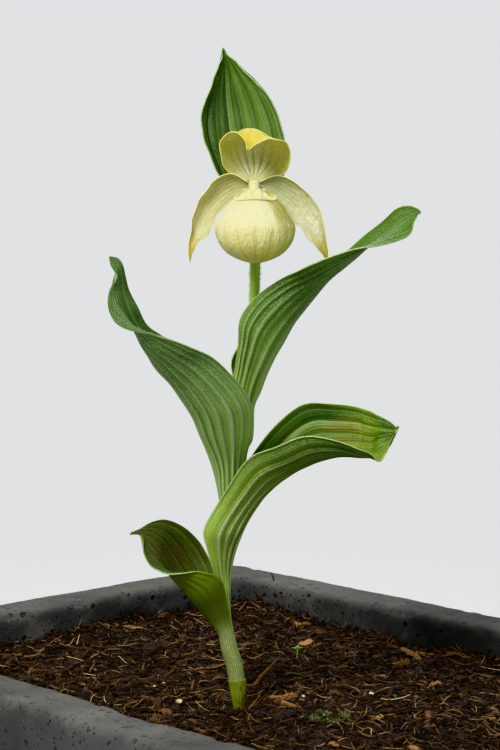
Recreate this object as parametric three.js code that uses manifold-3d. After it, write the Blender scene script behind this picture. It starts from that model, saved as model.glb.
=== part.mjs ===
// A slipper orchid (Cypripedium) in flower, planted in a cast stone trough of bark mix.
//
// Millimetres, +Z up. The origin is the middle of the trough's flat underside and +X runs
// along the trough's long side. The plant stands in a turned group of its own, where z = 0
// is the surface of the mix at the stem, and -Y is the side that the flower faces.

import * as THREE from 'three';
import { ParametricGeometry } from 'three/addons/geometries/ParametricGeometry.js';
import { mergeVertices } from 'three/addons/utils/BufferGeometryUtils.js';
import Module from 'manifold-3d';

const wasm = await Module();
wasm.setup();

// ------------------------------------------------------------------ driving dimensions

const TROUGH = {
  length: 400, width: 288, height: 150,   // outside, at the rim
  wall: 28, floor: 28,
  corner: 14, innerCorner: 8,             // corner radii in plan
  edge: 5,                                // rounding of the rim and of the foot
  taper: 0.05,                            // how much narrower the foot is, as a share
  drainRadius: 6, drainX: 100,
};
const MIX_BELOW_RIM = 18;
const MIX_TOP = TROUGH.height - MIX_BELOW_RIM;
const SEAT = 0.35;                        // clearance between pieces that touch

const PLANT = { x: -5, y: -32, turn: 47 };  // where the stem stands, and its turn in degrees
const ROOT_DEPTH = 30;                      // how deep the stem goes into the mix
const LEAF_THICKNESS = 0.8;
const SEPAL_THICKNESS = 0.75;
const PLEATS = 7;
const PLEAT_HEIGHT = 0.6;                   // half height of a leaf's pleats
const PLEATS_FADE = [2, 22];                // they rise as the blade widens between these widths

// The stem's centre line, and its radius at each height. It is thicker where the lowest
// leaf's sheath holds it and thinner inside the second one.
const STEM_AXIS = [
  [0, 0, -ROOT_DEPTH], [0, 0, 0], [-1.5, 0, 17.5], [-5, 0, 31], [-6.5, 0, 45], [-6.5, 0, 56.5],
  [-5.5, 0, 70.5], [-4, 0, 86.5], [-2, 0, 105], [0, 0, 123], [2.5, 0, 141.5], [5, 0, 164],
  [7, 0, 186.5], [7.5, 0, 202.5], [7.5, 0, 212],
];
const STEM_RADIUS = [
  [-ROOT_DEPTH, 1.7], [1, 1.7], [12, 2.75], [33, 2.75], [38, 1.85], [57, 1.85], [64, 2.2], [212, 2.2],
];
const STEM_SIDES = 10;

// Each blade hangs on three rails with matching stations: the margin nearest the flower's
// side, the keel, and the far margin. Every cross-section is the arc through its three
// points. A sheath is a run of rings round the stem that comes before the first station:
// facing is the keel's direction in degrees, and hand says on which side near lies.
const LEAVES = {
  leaf_1: {
    sheath: { from: 12.2, to: 35, rings: 4, radius: [3.5, 3.75], wrap: [344, 296], facing: 180, hand: 1 },
    near: [
      [-5, -5, 48], [-8.5, -9, 61.5], [-15, -13, 65], [-23, -15, 65.5], [-31.5, -14, 64.5],
      [-38.5, -11, 66.5], [-42, -7, 72.5], [-44, -3, 80], [-49.5, -1, 80.5],
    ],
    keel: [
      [-16, -1, 43.5], [-21, -3, 50.5], [-26.5, -4, 57], [-31, -5, 62.5], [-35.5, -5, 68],
      [-39.5, -4, 72.5], [-43, -3, 77.5], [-45, -2, 80.5], [-49, -1, 80.5],
    ],
    far: [
      [-6.5, 8, 52], [-10.5, 11, 58.5], [-13.5, 13, 66], [-18, 14, 74], [-25.5, 12, 81.5],
      [-34, 8, 85.5], [-40.5, 4, 84.5], [-45, 0, 82.5], [-49, -1, 81],
    ],
    color: 0x4f7d1c, along: 20,
  },
  leaf_2: {
    sheath: { from: 39, to: 55, rings: 3, radius: [2.6, 2.65], wrap: [336, 300], facing: 0, hand: -1 },
    near: [
      [-11.5, -4, 64], [-14.5, -8, 76.5], [-15.5, -10, 83.5], [-10.5, -13, 94], [-4, -17, 105],
      [5, -22, 118], [16.5, -27, 123.5], [29, -30, 128.5], [40, -33, 127.5], [52, -34, 123],
      [61.5, -31, 118], [66.5, -26, 124], [71, -19, 131],
    ],
    keel: [
      [-3.5, -1, 64], [-1, -3, 75], [3, -5, 84.5], [7.5, -7, 92.5], [14, -9, 101.5],
      [22, -10, 108.5], [31.5, -11, 114], [39.5, -14, 117], [49.5, -18, 119], [57.5, -22, 120.5],
      [64.5, -23, 123.5], [68.5, -21.5, 127], [71, -19, 131.5],
    ],
    far: [
      [-10, 6, 64.5], [-9.5, 9, 76], [-6, 9, 89], [-1, 8, 103], [8, 3, 118.5], [18, -2, 131.5],
      [28.5, -1, 139], [41, -2, 140], [53, -6, 139], [61, -12, 136.5], [67.5, -17, 133.5],
      [70, -19, 131.5], [71, -19, 132],
    ],
    color: 0x3f7620, along: 25,
  },
  leaf_3: {
    sheath: { from: 76, to: 86, rings: 3, radius: [2.95, 3.2], wrap: [330, 280], facing: 215, hand: 1 },
    near: [
      [2, -3, 103], [3.5, -8, 116], [6, -13, 130], [5.5, -18, 141], [0, -25, 151.5],
      [-10.5, -36, 163], [-22, -48, 170], [-34, -53, 174.5], [-43, -52, 176], [-52, -49, 180],
      [-55.5, -43, 186], [-54.5, -38, 193], [-52.5, -34, 198.5], [-55, -29, 203], [-56, -26, 207],
    ],
    keel: [
      [-8.5, -2.5, 97], [-10.5, -8, 112], [-16, -14, 126], [-20.5, -21, 138],
      [-27.5, -27.5, 149.5], [-35, -33, 159], [-41, -36, 167.5], [-44.5, -37, 175.5],
      [-48, -37, 181.5], [-50.5, -36, 187.5], [-52, -34, 193.5], [-52, -32, 199],
      [-52.5, -30, 202.5], [-55, -27.5, 205], [-56, -26, 207],
    ],
    far: [
      [-1, 6, 99.5], [-2, 5, 112.5], [-5, 2, 127.5], [-7, -1, 141.5], [-12.5, -5, 153],
      [-21.5, -12, 162], [-29, -20, 168.5], [-34.5, -23, 173], [-39.5, -25, 176.5],
      [-43.5, -26, 183], [-47.5, -25, 192], [-49.5, -25, 199], [-50.5, -26, 203.5],
      [-53, -26, 206.5], [-56, -26, 207],
    ],
    color: 0x3b7030, along: 27,
  },
  leaf_4: {
    sheath: { from: 101, to: 117, rings: 3, radius: [2.95, 3.2], wrap: [330, 290], facing: 340, hand: -1 },
    near: [
      [-3, -3.5, 133], [-2.5, -5, 149.5], [-1, -8, 159.5], [0.5, -12, 171.5], [2, -15, 181],
      [8.5, -18, 189.5], [17.5, -24, 196.5], [28, -37, 203], [38.5, -43, 208], [48.5, -46, 210.5],
      [58.5, -47, 213], [67.5, -46, 215], [73, -44, 217.5], [75, -39.5, 222.5],
      [77.5, -37, 225.5], [78.5, -36, 226],
    ],
    keel: [
      [5.5, -2.5, 123.5], [5, -5, 138.5], [7.5, -9, 149], [11.5, -12, 159], [16.5, -15, 168.5],
      [24, -18, 179.5], [32, -21, 189], [40.5, -24, 197.5], [48.5, -27, 204], [54.5, -30, 210],
      [60, -32, 215], [66, -34, 220], [70.5, -35, 223.5], [74.5, -35.5, 225.5],
      [77.5, -36, 226.5], [78.5, -36, 226],
    ],
    far: [
      [-3, 3.5, 134], [-2.5, 5, 151], [-3, 6, 159], [2, 7, 169], [9.5, 5, 178], [17.5, -1, 188],
      [26, -5, 195.5], [35, -7, 201], [43, -10, 206], [50, -15, 211], [57, -20, 217],
      [63, -25, 222], [68, -30, 227.5], [73, -33, 228.5], [76.5, -35, 227.5], [78.5, -36, 226.5],
    ],
    color: 0x3d7326, along: 26,
  },
  bract: {
    sheath: { from: 205.5, to: 210.5, rings: 2, radius: [2.95, 3.1], wrap: [215, 200], facing: 90, hand: 1 },
    near: [
      [0.5, 0, 220], [-4, 2, 232], [-10.5, 4, 246.5], [-16, 6, 259], [-16.5, 8, 269.5],
      [-14, 9, 279], [-10, 10, 288], [-8, 10.5, 295], [-7, 11, 299.5],
    ],
    keel: [
      [7, 7, 220], [5.5, 10, 231.5], [4, 13, 244], [1, 15, 257], [-1, 16, 268.5], [-3, 16, 279.5],
      [-4.5, 15, 288.5], [-6, 13, 295], [-7, 11, 299.5],
    ],
    far: [
      [13.5, 0, 220], [18, 2, 232], [21, 4, 245.5], [20.5, 6, 259.5], [18, 8, 270], [12, 9, 280],
      [4, 11, 288.5], [-3.5, 11.5, 295], [-7, 11, 299.5],
    ],
    color: 0x2f6527, along: 16,
  },
};

// The sepals and petals hang on the same kind of rails. They have no sheath and no pleats.
const PETALS = {
  dorsal_sepal: {
    near: [
      [5, -8.4, 240.6], [1, -10.5, 242.5], [-4, -13, 245.5], [-7.5, -16, 251], [-8, -18, 256.5],
      [-6, -20, 259.5], [-2.5, -21.5, 261], [0.5, -22.5, 260], [3, -23.5, 257], [4, -24, 253],
    ],
    keel: [
      [7, -7.3, 240.4], [7, -6, 243.5], [7, -5, 248], [6.5, -5, 253], [6.5, -7, 257.5],
      [6, -10, 260.5], [6, -14, 262.5], [6, -18, 262], [5.5, -22, 259.5], [4.5, -24, 253],
    ],
    far: [
      [9.2, -8.4, 240.6], [13, -10.5, 242.2], [19, -13, 244], [22.5, -16, 247.5], [23, -18, 253],
      [21, -21, 256.5], [16.5, -24, 257.5], [11.5, -25.5, 257.5], [7.5, -25, 255.5],
      [4.5, -24, 253],
    ],
    color: 0xb9bb55, along: 15, across: 10,
  },
  petal_left: {
    near: [
      [4.8, -10, 236.5], [1, -12, 234], [-5.5, -14, 228.5], [-9.5, -15, 224.5],
      [-12, -15.5, 219], [-13.5, -15.5, 216], [-17.5, -14.5, 213], [-20.5, -13, 208],
      [-21.5, -12, 204],
    ],
    keel: [
      [4.7, -9, 238], [-1, -8, 238], [-8, -9, 234], [-13, -10, 229], [-16, -11, 224],
      [-18, -12, 219], [-20, -12.5, 214.5], [-21, -12.5, 208.5], [-21.5, -12, 204],
    ],
    far: [
      [4.8, -10, 239], [-3, -11, 243], [-11, -13, 240], [-15.5, -14, 234], [-18.5, -14.5, 228],
      [-20.5, -14.5, 222], [-21.5, -13.5, 215.5], [-22, -12.5, 209], [-21.5, -12, 204],
    ],
    color: 0xd9d98e, along: 14, across: 6,
  },
  petal_right: {
    near: [
      [9.2, -10, 236.3], [13, -11, 233.5], [18.5, -12, 228.5], [24, -13, 222], [27.5, -14, 219.5],
      [30.5, -15, 215], [34, -14.5, 211], [37.5, -13, 207.5], [39.5, -12, 204.5],
    ],
    keel: [
      [9.3, -9, 238], [15.5, -8, 237.5], [22.5, -8.5, 233], [28, -10, 228.5], [31.5, -11, 223],
      [34.5, -12, 218], [36.5, -12.5, 213], [38.5, -12.5, 208.5], [39.5, -12, 204.5],
    ],
    far: [
      [9.2, -10, 239.3], [16, -11, 242], [24, -13, 240], [30.5, -14, 235], [34.5, -14.5, 229.5],
      [37, -14.5, 223.5], [38.5, -13.5, 217], [39, -12.5, 210.5], [39.5, -12, 204.5],
    ],
    color: 0xdcdb96, along: 14, across: 6,
  },
  synsepal: {
    near: [
      [5.7, -8.3, 235.9], [1, -7.6, 230.5], [-1.5, -6.6, 225], [-2, -6, 219.5], [1, -5.8, 214],
      [6.6, -6, 209.5],
    ],
    keel: [
      [7, -8.1, 235.9], [7, -6.4, 230], [7, -5.2, 224.5], [7, -4.8, 219], [7, -5.2, 213.5],
      [7, -6, 209],
    ],
    far: [
      [8.3, -8.3, 235.9], [13, -7.6, 230.5], [15.5, -6.6, 225], [16, -6, 219.5], [13, -5.8, 214],
      [7.4, -6, 209.5],
    ],
    color: 0xc6cb7c, along: 8, across: 4,
  },
};
const TIP = 0.985;              // a blade stops here along its rails, so its tip keeps a width

// The inflated lip: half sizes from its middle, and how its mouth is set.
const POUCH = {
  centre: [7.5, -23, 219.2],
  halfWidth: 17.4, halfDepth: 15.5, above: 13.7, below: 15.2,
  mouthAngle: 148,              // degrees from the bottom pole, where the wall turns in
  mouthDepth: 3.5,              // the mouth is this much longer front to back
  mouthShift: 2.1,              // and lies this far back
  backRise: 4.2,                // the rim stands higher at the back
  wall: 0.055,                  // shell thickness as a share of the half sizes
  rim: [[0.5, 0.885], [0.455, 0.885], [0.43, 0.62], [0.475, 0.61]],  // over the edge and down inside
  shoulder: 0.4,                // the mouth's own shape fades in from here up to the rim
  vein: 0.008,                  // height of the veins as a share of the radius
  segments: 28, rings: 10, liningRings: 7,
};

// The ovary and the column are swept along short centre lines, with a radius at each point.
const OVARY = {
  axis: [
    [7.5, 0, 212.6], [7.5, 0.9, 219], [7.4, 0.6, 226], [7.2, -1.6, 232.5], [7, -4.6, 236.8],
    [7, -7.7, 237.9],
  ],
  radius: [2.1, 2.6, 2.7, 2.3, 1.9, 1.5],
  sides: 12, steps: 10, rib: 0.22,
};
const COLUMN = {
  axis: [[7, -8.7, 238], [7, -10.8, 238.2], [7, -13.2, 238.2], [7, -15.6, 237.8], [7, -17.2, 237.2]],
  radius: [1.9, 1.85, 2.2, 2.6, 1.4],
  sides: 12, steps: 10, rib: 0,
};

// The low sheath at the foot of the stem: radius and height of its closed wall.
const BASE_SHEATH = {
  bottom: -4, top: 11.3, sides: 16, rings: 4,
  inner: [[-4, 2.05], [1, 2.05], [11.3, 3.05]],
  outer: [[-4, 2.75], [1, 2.75], [11.3, 3.9]],
};

// The surface of the mix: broad and narrow waves, and how it rises at the walls.
const MOUND = { broad: 1.6, narrow: 0.9, atWalls: 3, levelRoundStem: [6, 40] };

// Bark in the mix: splinters and chips, drawn from a seeded rule.
const BARK = {
  seed: 7, splinters: 70, chips: 18,
  splinterLength: [12, 34], splinterWidth: [1.6, 3.4],
  chipLength: [9, 22], chipWidth: [5, 9], chipThickness: [2.4, 4],
  splinterDepth: 0.8, pointed: 0.4,       // a splinter's depth and thin end, as shares of its width
  tilt: 0.3,                              // most lean out of level, in radians, end to end
  proud: 0.12,                            // how far a piece's middle stands over the mix, in depths
  clearOfStem: 9, clearOfWall: 7,
};

// ------------------------------------------------------------------------- small helpers

const vector = ([x, y, z]) => new THREE.Vector3(x, y, z);
const smooth = THREE.MathUtils.smoothstep;
const radians = THREE.MathUtils.degToRad;

/** A smooth curve through the given points. */
function railThrough(points) {
  return new THREE.CatmullRomCurve3(points, false, 'centripetal');
}

/** The value at x of a profile given as [x, value] pairs, straight between them. */
function profileAt(profile, x) {
  const last = profile.length - 1;
  if (x <= profile[0][0]) return profile[0][1];
  for (let i = 0; i < last; i++) {
    const [x0, y0] = profile[i];
    const [x1, y1] = profile[i + 1];
    if (x <= x1) return THREE.MathUtils.mapLinear(x, x0, x1, y0, y1);
  }
  return profile[last][1];
}

/** A repeatable source of random numbers from 0 to 1. */
function seededRandom(seed) {
  let state = seed;
  return () => {
    state = (state + 0x6d2b79f5) | 0;
    let mixed = Math.imul(state ^ (state >>> 15), 1 | state);
    mixed = (mixed + Math.imul(mixed ^ (mixed >>> 7), 61 | mixed)) ^ mixed;
    return ((mixed ^ (mixed >>> 14)) >>> 0) / 4294967296;
  };
}

/** A geometry from a list of Vector3 and a list of triangle corners. */
function geometryOf(points, corners) {
  const geometry = new THREE.BufferGeometry().setFromPoints(points);
  geometry.setIndex(corners);
  return geometry;
}

/** A copy of a geometry that holds only positions, with equal vertices merged. */
function welded(geometry) {
  const bare = geometry.clone();
  for (const name of Object.keys(bare.attributes)) {
    if (name !== 'position') bare.deleteAttribute(name);
  }
  return mergeVertices(bare, 1e-4);
}

/** A manifold solid from a closed geometry. */
function solidOf(geometry) {
  const closed = welded(geometry);
  return new wasm.Manifold(new wasm.Mesh({
    numProp: 3,
    vertProperties: new Float32Array(closed.attributes.position.array),
    triVerts: new Uint32Array(closed.index.array),
  }));
}

/** The geometry of a manifold solid. */
function geometryOfSolid(solid) {
  const mesh = solid.getMesh();
  const geometry = new THREE.BufferGeometry();
  geometry.setAttribute('position', new THREE.BufferAttribute(mesh.vertProperties, 3));
  geometry.setIndex(new THREE.BufferAttribute(mesh.triVerts, 1));
  return geometry;
}

/** A named piece with its own material. */
function piece(name, geometry, color, roughness) {
  const material = new THREE.MeshStandardMaterial({ color, roughness, metalness: 0 });
  const mesh = new THREE.Mesh(geometry, material);
  mesh.name = name;
  return mesh;
}

/** A closed body skinned over rings of points, each ring counter-clockwise about the way on. */
function loft(rings) {
  const sides = rings[0].length;
  const points = rings.flat();
  const corners = [];
  const at = (ring, i) => ring * sides + (i % sides);
  for (let ring = 0; ring < rings.length - 1; ring++) {
    for (let i = 0; i < sides; i++) {
      corners.push(at(ring, i), at(ring, i + 1), at(ring + 1, i + 1));
      corners.push(at(ring, i), at(ring + 1, i + 1), at(ring + 1, i));
    }
  }
  for (let i = 1; i < sides - 1; i++) {
    corners.push(at(0, 0), at(0, i + 1), at(0, i));
    corners.push(at(rings.length - 1, 0), at(rings.length - 1, i), at(rings.length - 1, i + 1));
  }
  return geometryOf(points, corners);
}

/** A solid swept along a curve, with radiusAt(share of the way, angle) for its skin. */
function sweep(curve, steps, sides, radiusAt) {
  const frames = curve.computeFrenetFrames(steps, false);
  const rings = [];
  for (let step = 0; step <= steps; step++) {
    const share = step / steps;
    const centre = curve.getPointAt(share);
    const ring = [];
    for (let i = 0; i < sides; i++) {
      const angle = (i / sides) * 2 * Math.PI;
      const radius = radiusAt(share, angle, centre);
      const out = frames.normals[step].clone().multiplyScalar(radius * Math.cos(angle));
      out.addScaledVector(frames.binormals[step], radius * Math.sin(angle));
      ring.push(centre.clone().add(out));
    }
    rings.push(ring);
  }
  return loft(rings);
}

// --------------------------------------------------------------------------------- stem

const stemCurve = railThrough(STEM_AXIS.map(vector));

/** The stem's centre and direction at a height. */
function stemAt(height) {
  let low = 0;
  let high = 1;
  while (high - low > 1e-7) {
    const middle = (low + high) / 2;
    if (stemCurve.getPoint(middle).z < height) low = middle;
    else high = middle;
  }
  return { centre: stemCurve.getPoint(low), direction: stemCurve.getTangent(low) };
}

/** A ring of points round the stem at a height, starting from +X. */
function ringRound(height, radius, headings) {
  const { centre, direction } = stemAt(height);
  const outward = new THREE.Vector3(1, 0, 0).addScaledVector(direction, -direction.x).normalize();
  return headings.map((heading) => outward.clone()
    .applyAxisAngle(direction, radians(heading)).multiplyScalar(radius).add(centre));
}

function stem() {
  const bends = STEM_AXIS.map(([, , z]) => z);
  const changes = STEM_RADIUS.map(([z]) => z);
  const heights = [...new Set([...bends, ...changes])].sort((a, b) => a - b);
  const headings = Array.from({ length: STEM_SIDES }, (_, i) => (360 * i) / STEM_SIDES);
  const rings = heights.map((z) => ringRound(z, profileAt(STEM_RADIUS, z), headings));
  return piece('stem', loft(rings), 0x6f9a3a, 0.6);
}

/** The low sheath: a closed ring of wall, shifted at every height on to the leaning stem. */
function baseSheath() {
  const { bottom, top, rings, inner, outer, sides } = BASE_SHEATH;
  const heights = Array.from({ length: rings }, (_, i) => THREE.MathUtils.lerp(bottom, top, i / (rings - 1)));
  const wall = heights.map((z) => new THREE.Vector2(profileAt(outer, z), z));
  const lining = heights.map((z) => new THREE.Vector2(profileAt(inner, z), z)).reverse();
  const geometry = welded(new THREE.LatheGeometry([...wall, ...lining, wall[0].clone()], sides));
  geometry.rotateX(Math.PI / 2);
  const position = geometry.attributes.position;
  for (let i = 0; i < position.count; i++) {
    const { centre } = stemAt(position.getZ(i));
    position.setX(i, position.getX(i) + centre.x);
    position.setY(i, position.getY(i) + centre.y);
  }
  return piece('base_sheath', geometry, 0x7fae35, 0.55);
}

// ------------------------------------------------------------------------------- blades

/** A point on the arc from near through keel to far, with side from -1 at near to +1 at far. */
function onArc(near, keel, far, side) {
  const end = side < 0 ? near : far;
  const toKeel = keel.clone().sub(near);
  const toFar = far.clone().sub(near);
  const axis = toKeel.clone().cross(toFar);
  const straight = axis.length() < 0.02 * toKeel.length() * toFar.length();
  if (straight) return keel.clone().lerp(end, Math.abs(side));
  const towards = toFar.clone().multiplyScalar(toKeel.lengthSq());
  towards.addScaledVector(toKeel, -toFar.lengthSq());
  const centre = towards.cross(axis).divideScalar(2 * axis.lengthSq()).add(near);
  axis.normalize();
  const fromCentre = keel.clone().sub(centre);
  const endFromCentre = end.clone().sub(centre);
  let turn = Math.atan2(fromCentre.clone().cross(endFromCentre).dot(axis), fromCentre.dot(endFromCentre));
  if (side < 0 && turn > 0) turn -= 2 * Math.PI;
  if (side > 0 && turn < 0) turn += 2 * Math.PI;
  return fromCentre.applyAxisAngle(axis, turn * Math.abs(side)).add(centre);
}

/** The rails of a sheath that wraps the stem, ring by ring upwards. */
function sheathRails({ from, to, rings, radius, wrap, facing, hand }) {
  const rails = { near: [], keel: [], far: [] };
  for (let ring = 0; ring < rings; ring++) {
    const share = ring / (rings - 1);
    const half = THREE.MathUtils.lerp(wrap[0], wrap[1], share) / 2;
    const [near, keel, far] = ringRound(
      THREE.MathUtils.lerp(from, to, share), THREE.MathUtils.lerp(radius[0], radius[1], share),
      [facing + hand * half, facing, facing - hand * half]);
    rails.near.push(near);
    rails.keel.push(keel);
    rails.far.push(far);
  }
  return rails;
}

/** A blade's surface: (across 0 to 1, along 0 to 1) to a point, with its pleats raised. */
function bladeSurface(blade, ribs, ribHeight) {
  const before = blade.sheath ? sheathRails(blade.sheath) : { near: [], keel: [], far: [] };
  const rail = (name) => railThrough([...before[name], ...blade[name].map(vector)]);
  const near = rail('near');
  const keel = rail('keel');
  const far = rail('far');
  const bladeStart = before.near.length / (before.near.length + blade.near.length - 1);
  const plain = (side, along) => onArc(
    near.getPoint(along), keel.getPoint(along), far.getPoint(along), side);
  const step = 1e-3;
  return (across, share, target) => {
    const along = share * TIP;
    const side = across * 2 - 1;
    target.copy(plain(side, along));
    if (!ribs) return;
    const width = near.getPoint(along).distanceTo(far.getPoint(along));
    const swell = smooth(along, bladeStart - 0.1, bladeStart + 0.15) * smooth(width, ...PLEATS_FADE);
    const inner = Math.min(side, 1 - step);
    const acrossWay = plain(inner + step, along).sub(plain(inner, along));
    const alongWay = plain(side, along + step).sub(plain(side, along));
    const raise = ribHeight * swell * Math.cos(ribs * Math.PI * side);
    target.addScaledVector(acrossWay.cross(alongWay).normalize(), raise);
  };
}

/** A closed body of even thickness round a surface, split alike on both faces. */
function thicken(surface, across, along, thickness) {
  const sheet = new ParametricGeometry(surface, across, along);
  const { position, normal } = sheet.attributes;
  const columns = across + 1;
  const back = position.count;
  const points = [];
  for (const face of [0.5, -0.5]) {
    for (let i = 0; i < back; i++) {
      const out = new THREE.Vector3().fromBufferAttribute(normal, i);
      const point = new THREE.Vector3().fromBufferAttribute(position, i);
      points.push(point.addScaledVector(out, face * thickness));
    }
  }
  const corners = [];
  const quad = (a, b, c, d) => corners.push(a, b, c, a, c, d);
  for (let row = 0; row < along; row++) {
    for (let column = 0; column < across; column++) {
      const a = row * columns + column;
      const b = a + 1;
      const c = b + columns;
      const d = a + columns;
      quad(a, b, c, d);
      quad(back + a, back + d, back + c, back + b);
    }
  }
  for (let column = 0; column < across; column++) {
    const top = along * columns + column;
    quad(back + column, back + column + 1, column + 1, column);
    quad(top, top + 1, back + top + 1, back + top);
  }
  for (let row = 0; row < along; row++) {
    const left = row * columns;
    const right = left + across;
    quad(left, left + columns, back + left + columns, back + left);
    quad(back + right, back + right + columns, right + columns, right);
  }
  return geometryOf(points, corners);
}

function leaf(name) {
  const surface = bladeSurface(LEAVES[name], PLEATS, PLEAT_HEIGHT);
  const body = thicken(surface, 2 * PLEATS, LEAVES[name].along, LEAF_THICKNESS);
  return piece(name, body, LEAVES[name].color, 0.5);
}

function petal(name) {
  const { color, across, along } = PETALS[name];
  const body = thicken(bladeSurface(PETALS[name], 0, 0), across, along, SEPAL_THICKNESS);
  return piece(name, body, color, 0.55);
}

// ------------------------------------------------------------------------------- flower

/** The lip: an egg-shaped shell with a turned-in mouth that stands higher at the back. */
function pouch() {
  const wall = (scale, rings, end) => Array.from({ length: rings + 1 }, (_, i) => {
    const angle = (radians(end) * i) / rings;
    return new THREE.Vector2(scale * Math.sin(angle), -scale * Math.cos(angle));
  });
  const outside = wall(1, POUCH.rings, POUCH.mouthAngle);
  const rim = POUCH.rim.map(([radius, height]) => new THREE.Vector2(radius, height));
  const lining = wall(1 - POUCH.wall, POUCH.liningRings, POUCH.mouthAngle - 4).reverse();
  const geometry = welded(new THREE.LatheGeometry([...outside, ...rim, ...lining], POUCH.segments));
  geometry.rotateX(Math.PI / 2);
  const position = geometry.attributes.position;
  const centre = vector(POUCH.centre);
  for (let i = 0; i < position.count; i++) {
    const p = new THREE.Vector3().fromBufferAttribute(position, i);
    const heading = Math.atan2(p.y, p.x);
    const top = smooth(p.z, POUCH.shoulder, POUCH.rim[0][1]);
    const back = ((1 + Math.sin(heading)) / 2) ** 2;
    const veins = 1 + POUCH.vein * Math.cos((POUCH.segments / 2) * heading);
    position.setXYZ(i,
      centre.x + p.x * POUCH.halfWidth * veins,
      centre.y + p.y * (POUCH.halfDepth + POUCH.mouthDepth * top) * veins + POUCH.mouthShift * top,
      centre.z + p.z * (p.z > 0 ? POUCH.above : POUCH.below) + POUCH.backRise * top * back);
  }
  return piece('pouch', geometry, 0xe3de96, 0.5);
}

/** A short stalk swept along its axis, with its radius given at each axis point. */
function stalk(name, { axis, radius, sides, steps, rib }, color) {
  const profile = radius.map((value, i) => [i / (radius.length - 1), value]);
  const ribs = sides / 2;
  const skin = sweep(railThrough(axis.map(vector)), steps, sides,
    (share, angle) => profileAt(profile, share) + rib * Math.cos(ribs * angle));
  return piece(name, skin, color, 0.5);
}

// ------------------------------------------------------------------------ trough and mix

/** A rectangle with rounded corners, centred on the origin. */
function roundedRectangle(length, width, corner) {
  const x = length / 2;
  const y = width / 2;
  const shape = new THREE.Shape();
  shape.moveTo(-x + corner, -y);
  shape.lineTo(x - corner, -y);
  shape.absarc(x - corner, -y + corner, corner, -Math.PI / 2, 0, false);
  shape.lineTo(x, y - corner);
  shape.absarc(x - corner, y - corner, corner, 0, Math.PI / 2, false);
  shape.lineTo(-x + corner, y);
  shape.absarc(-x + corner, y - corner, corner, Math.PI / 2, Math.PI, false);
  shape.lineTo(-x, -y + corner);
  shape.absarc(-x + corner, -y + corner, corner, Math.PI, 1.5 * Math.PI, false);
  return shape;
}

/** Narrows a geometry evenly from the rim's height down to the foot. */
function tapered(geometry) {
  const position = geometry.attributes.position;
  for (let i = 0; i < position.count; i++) {
    const share = 1 - TROUGH.taper * (1 - position.getZ(i) / TROUGH.height);
    position.setX(i, position.getX(i) * share);
    position.setY(i, position.getY(i) * share);
  }
  return geometry;
}

/** The trough's inside, drawn in by a clearance all round, from a floor to a top height. */
function cavity(clearance, floor, top) {
  const shape = roundedRectangle(
    TROUGH.length - 2 * (TROUGH.wall + clearance), TROUGH.width - 2 * (TROUGH.wall + clearance),
    TROUGH.innerCorner - clearance);
  const block = new THREE.ExtrudeGeometry(shape, {
    depth: top - floor, bevelEnabled: false, curveSegments: 3,
  });
  return tapered(block.translate(0, 0, floor));
}

function trough() {
  const { length, width, height, corner, edge, floor, drainRadius, drainX } = TROUGH;
  const shape = roundedRectangle(length - 2 * edge, width - 2 * edge, corner - edge);
  const block = new THREE.ExtrudeGeometry(shape, {
    depth: height - 2 * edge, bevelThickness: edge, bevelSize: edge, bevelSegments: 2, curveSegments: 3,
  });
  let body = solidOf(tapered(block.translate(0, 0, edge)));
  body = body.subtract(solidOf(cavity(0, floor, height + edge)));
  for (const x of [-drainX, drainX]) {
    const drain = new THREE.CylinderGeometry(drainRadius, drainRadius, 3 * floor, 12);
    body = body.subtract(solidOf(drain.rotateX(Math.PI / 2).translate(x, 0, 0)));
  }
  return piece('trough', geometryOfSolid(body), 0x3a3a3c, 0.95);
}

/** The height of the mix above its level at the stem: soft hollows, and a rise at the walls. */
function moundAt(x, y) {
  const inLength = Math.abs(x) / (TROUGH.length / 2 - TROUGH.wall);
  const inWidth = Math.abs(y) / (TROUGH.width / 2 - TROUGH.wall);
  const fromStem = Math.hypot(x - PLANT.x, y - PLANT.y);
  const broad = MOUND.broad * Math.sin(x / 31) * Math.cos(y / 23);
  const narrow = MOUND.narrow * Math.sin(x / 13 + y / 17);
  const rise = MOUND.atWalls * smooth(Math.max(inLength, inWidth), 0.7, 1);
  return (broad + narrow + rise) * smooth(fromStem, ...MOUND.levelRoundStem);
}

/** A flat-sided splinter or chip, laid on the mix with its lower half sunk. */
function barkPiece(random, isChip) {
  const between = ([low, high]) => THREE.MathUtils.lerp(low, high, random());
  const length = between(isChip ? BARK.chipLength : BARK.splinterLength);
  const width = between(isChip ? BARK.chipWidth : BARK.splinterWidth);
  const thickness = isChip ? between(BARK.chipThickness) : width * BARK.splinterDepth;
  const body = isChip
    ? new THREE.BoxGeometry(length, width, thickness)
    : new THREE.CylinderGeometry((width / 2) * BARK.pointed, width / 2, length, 4).rotateZ(Math.PI / 2);
  const reachX = TROUGH.length / 2 - TROUGH.wall - BARK.clearOfWall - length / 2;
  const reachY = TROUGH.width / 2 - TROUGH.wall - BARK.clearOfWall - length / 2;
  let x = 0;
  let y = 0;
  do {
    x = (2 * random() - 1) * reachX;
    y = (2 * random() - 1) * reachY;
  } while (Math.hypot(x - PLANT.x, y - PLANT.y) < BARK.clearOfStem + length / 2);
  body.rotateX(random() * (isChip ? BARK.tilt : Math.PI));
  body.rotateY((random() - 0.5) * BARK.tilt);
  body.rotateZ(random() * 2 * Math.PI);
  body.translate(x, y, MIX_TOP + moundAt(x, y) + thickness * BARK.proud);
  return body;
}

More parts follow.
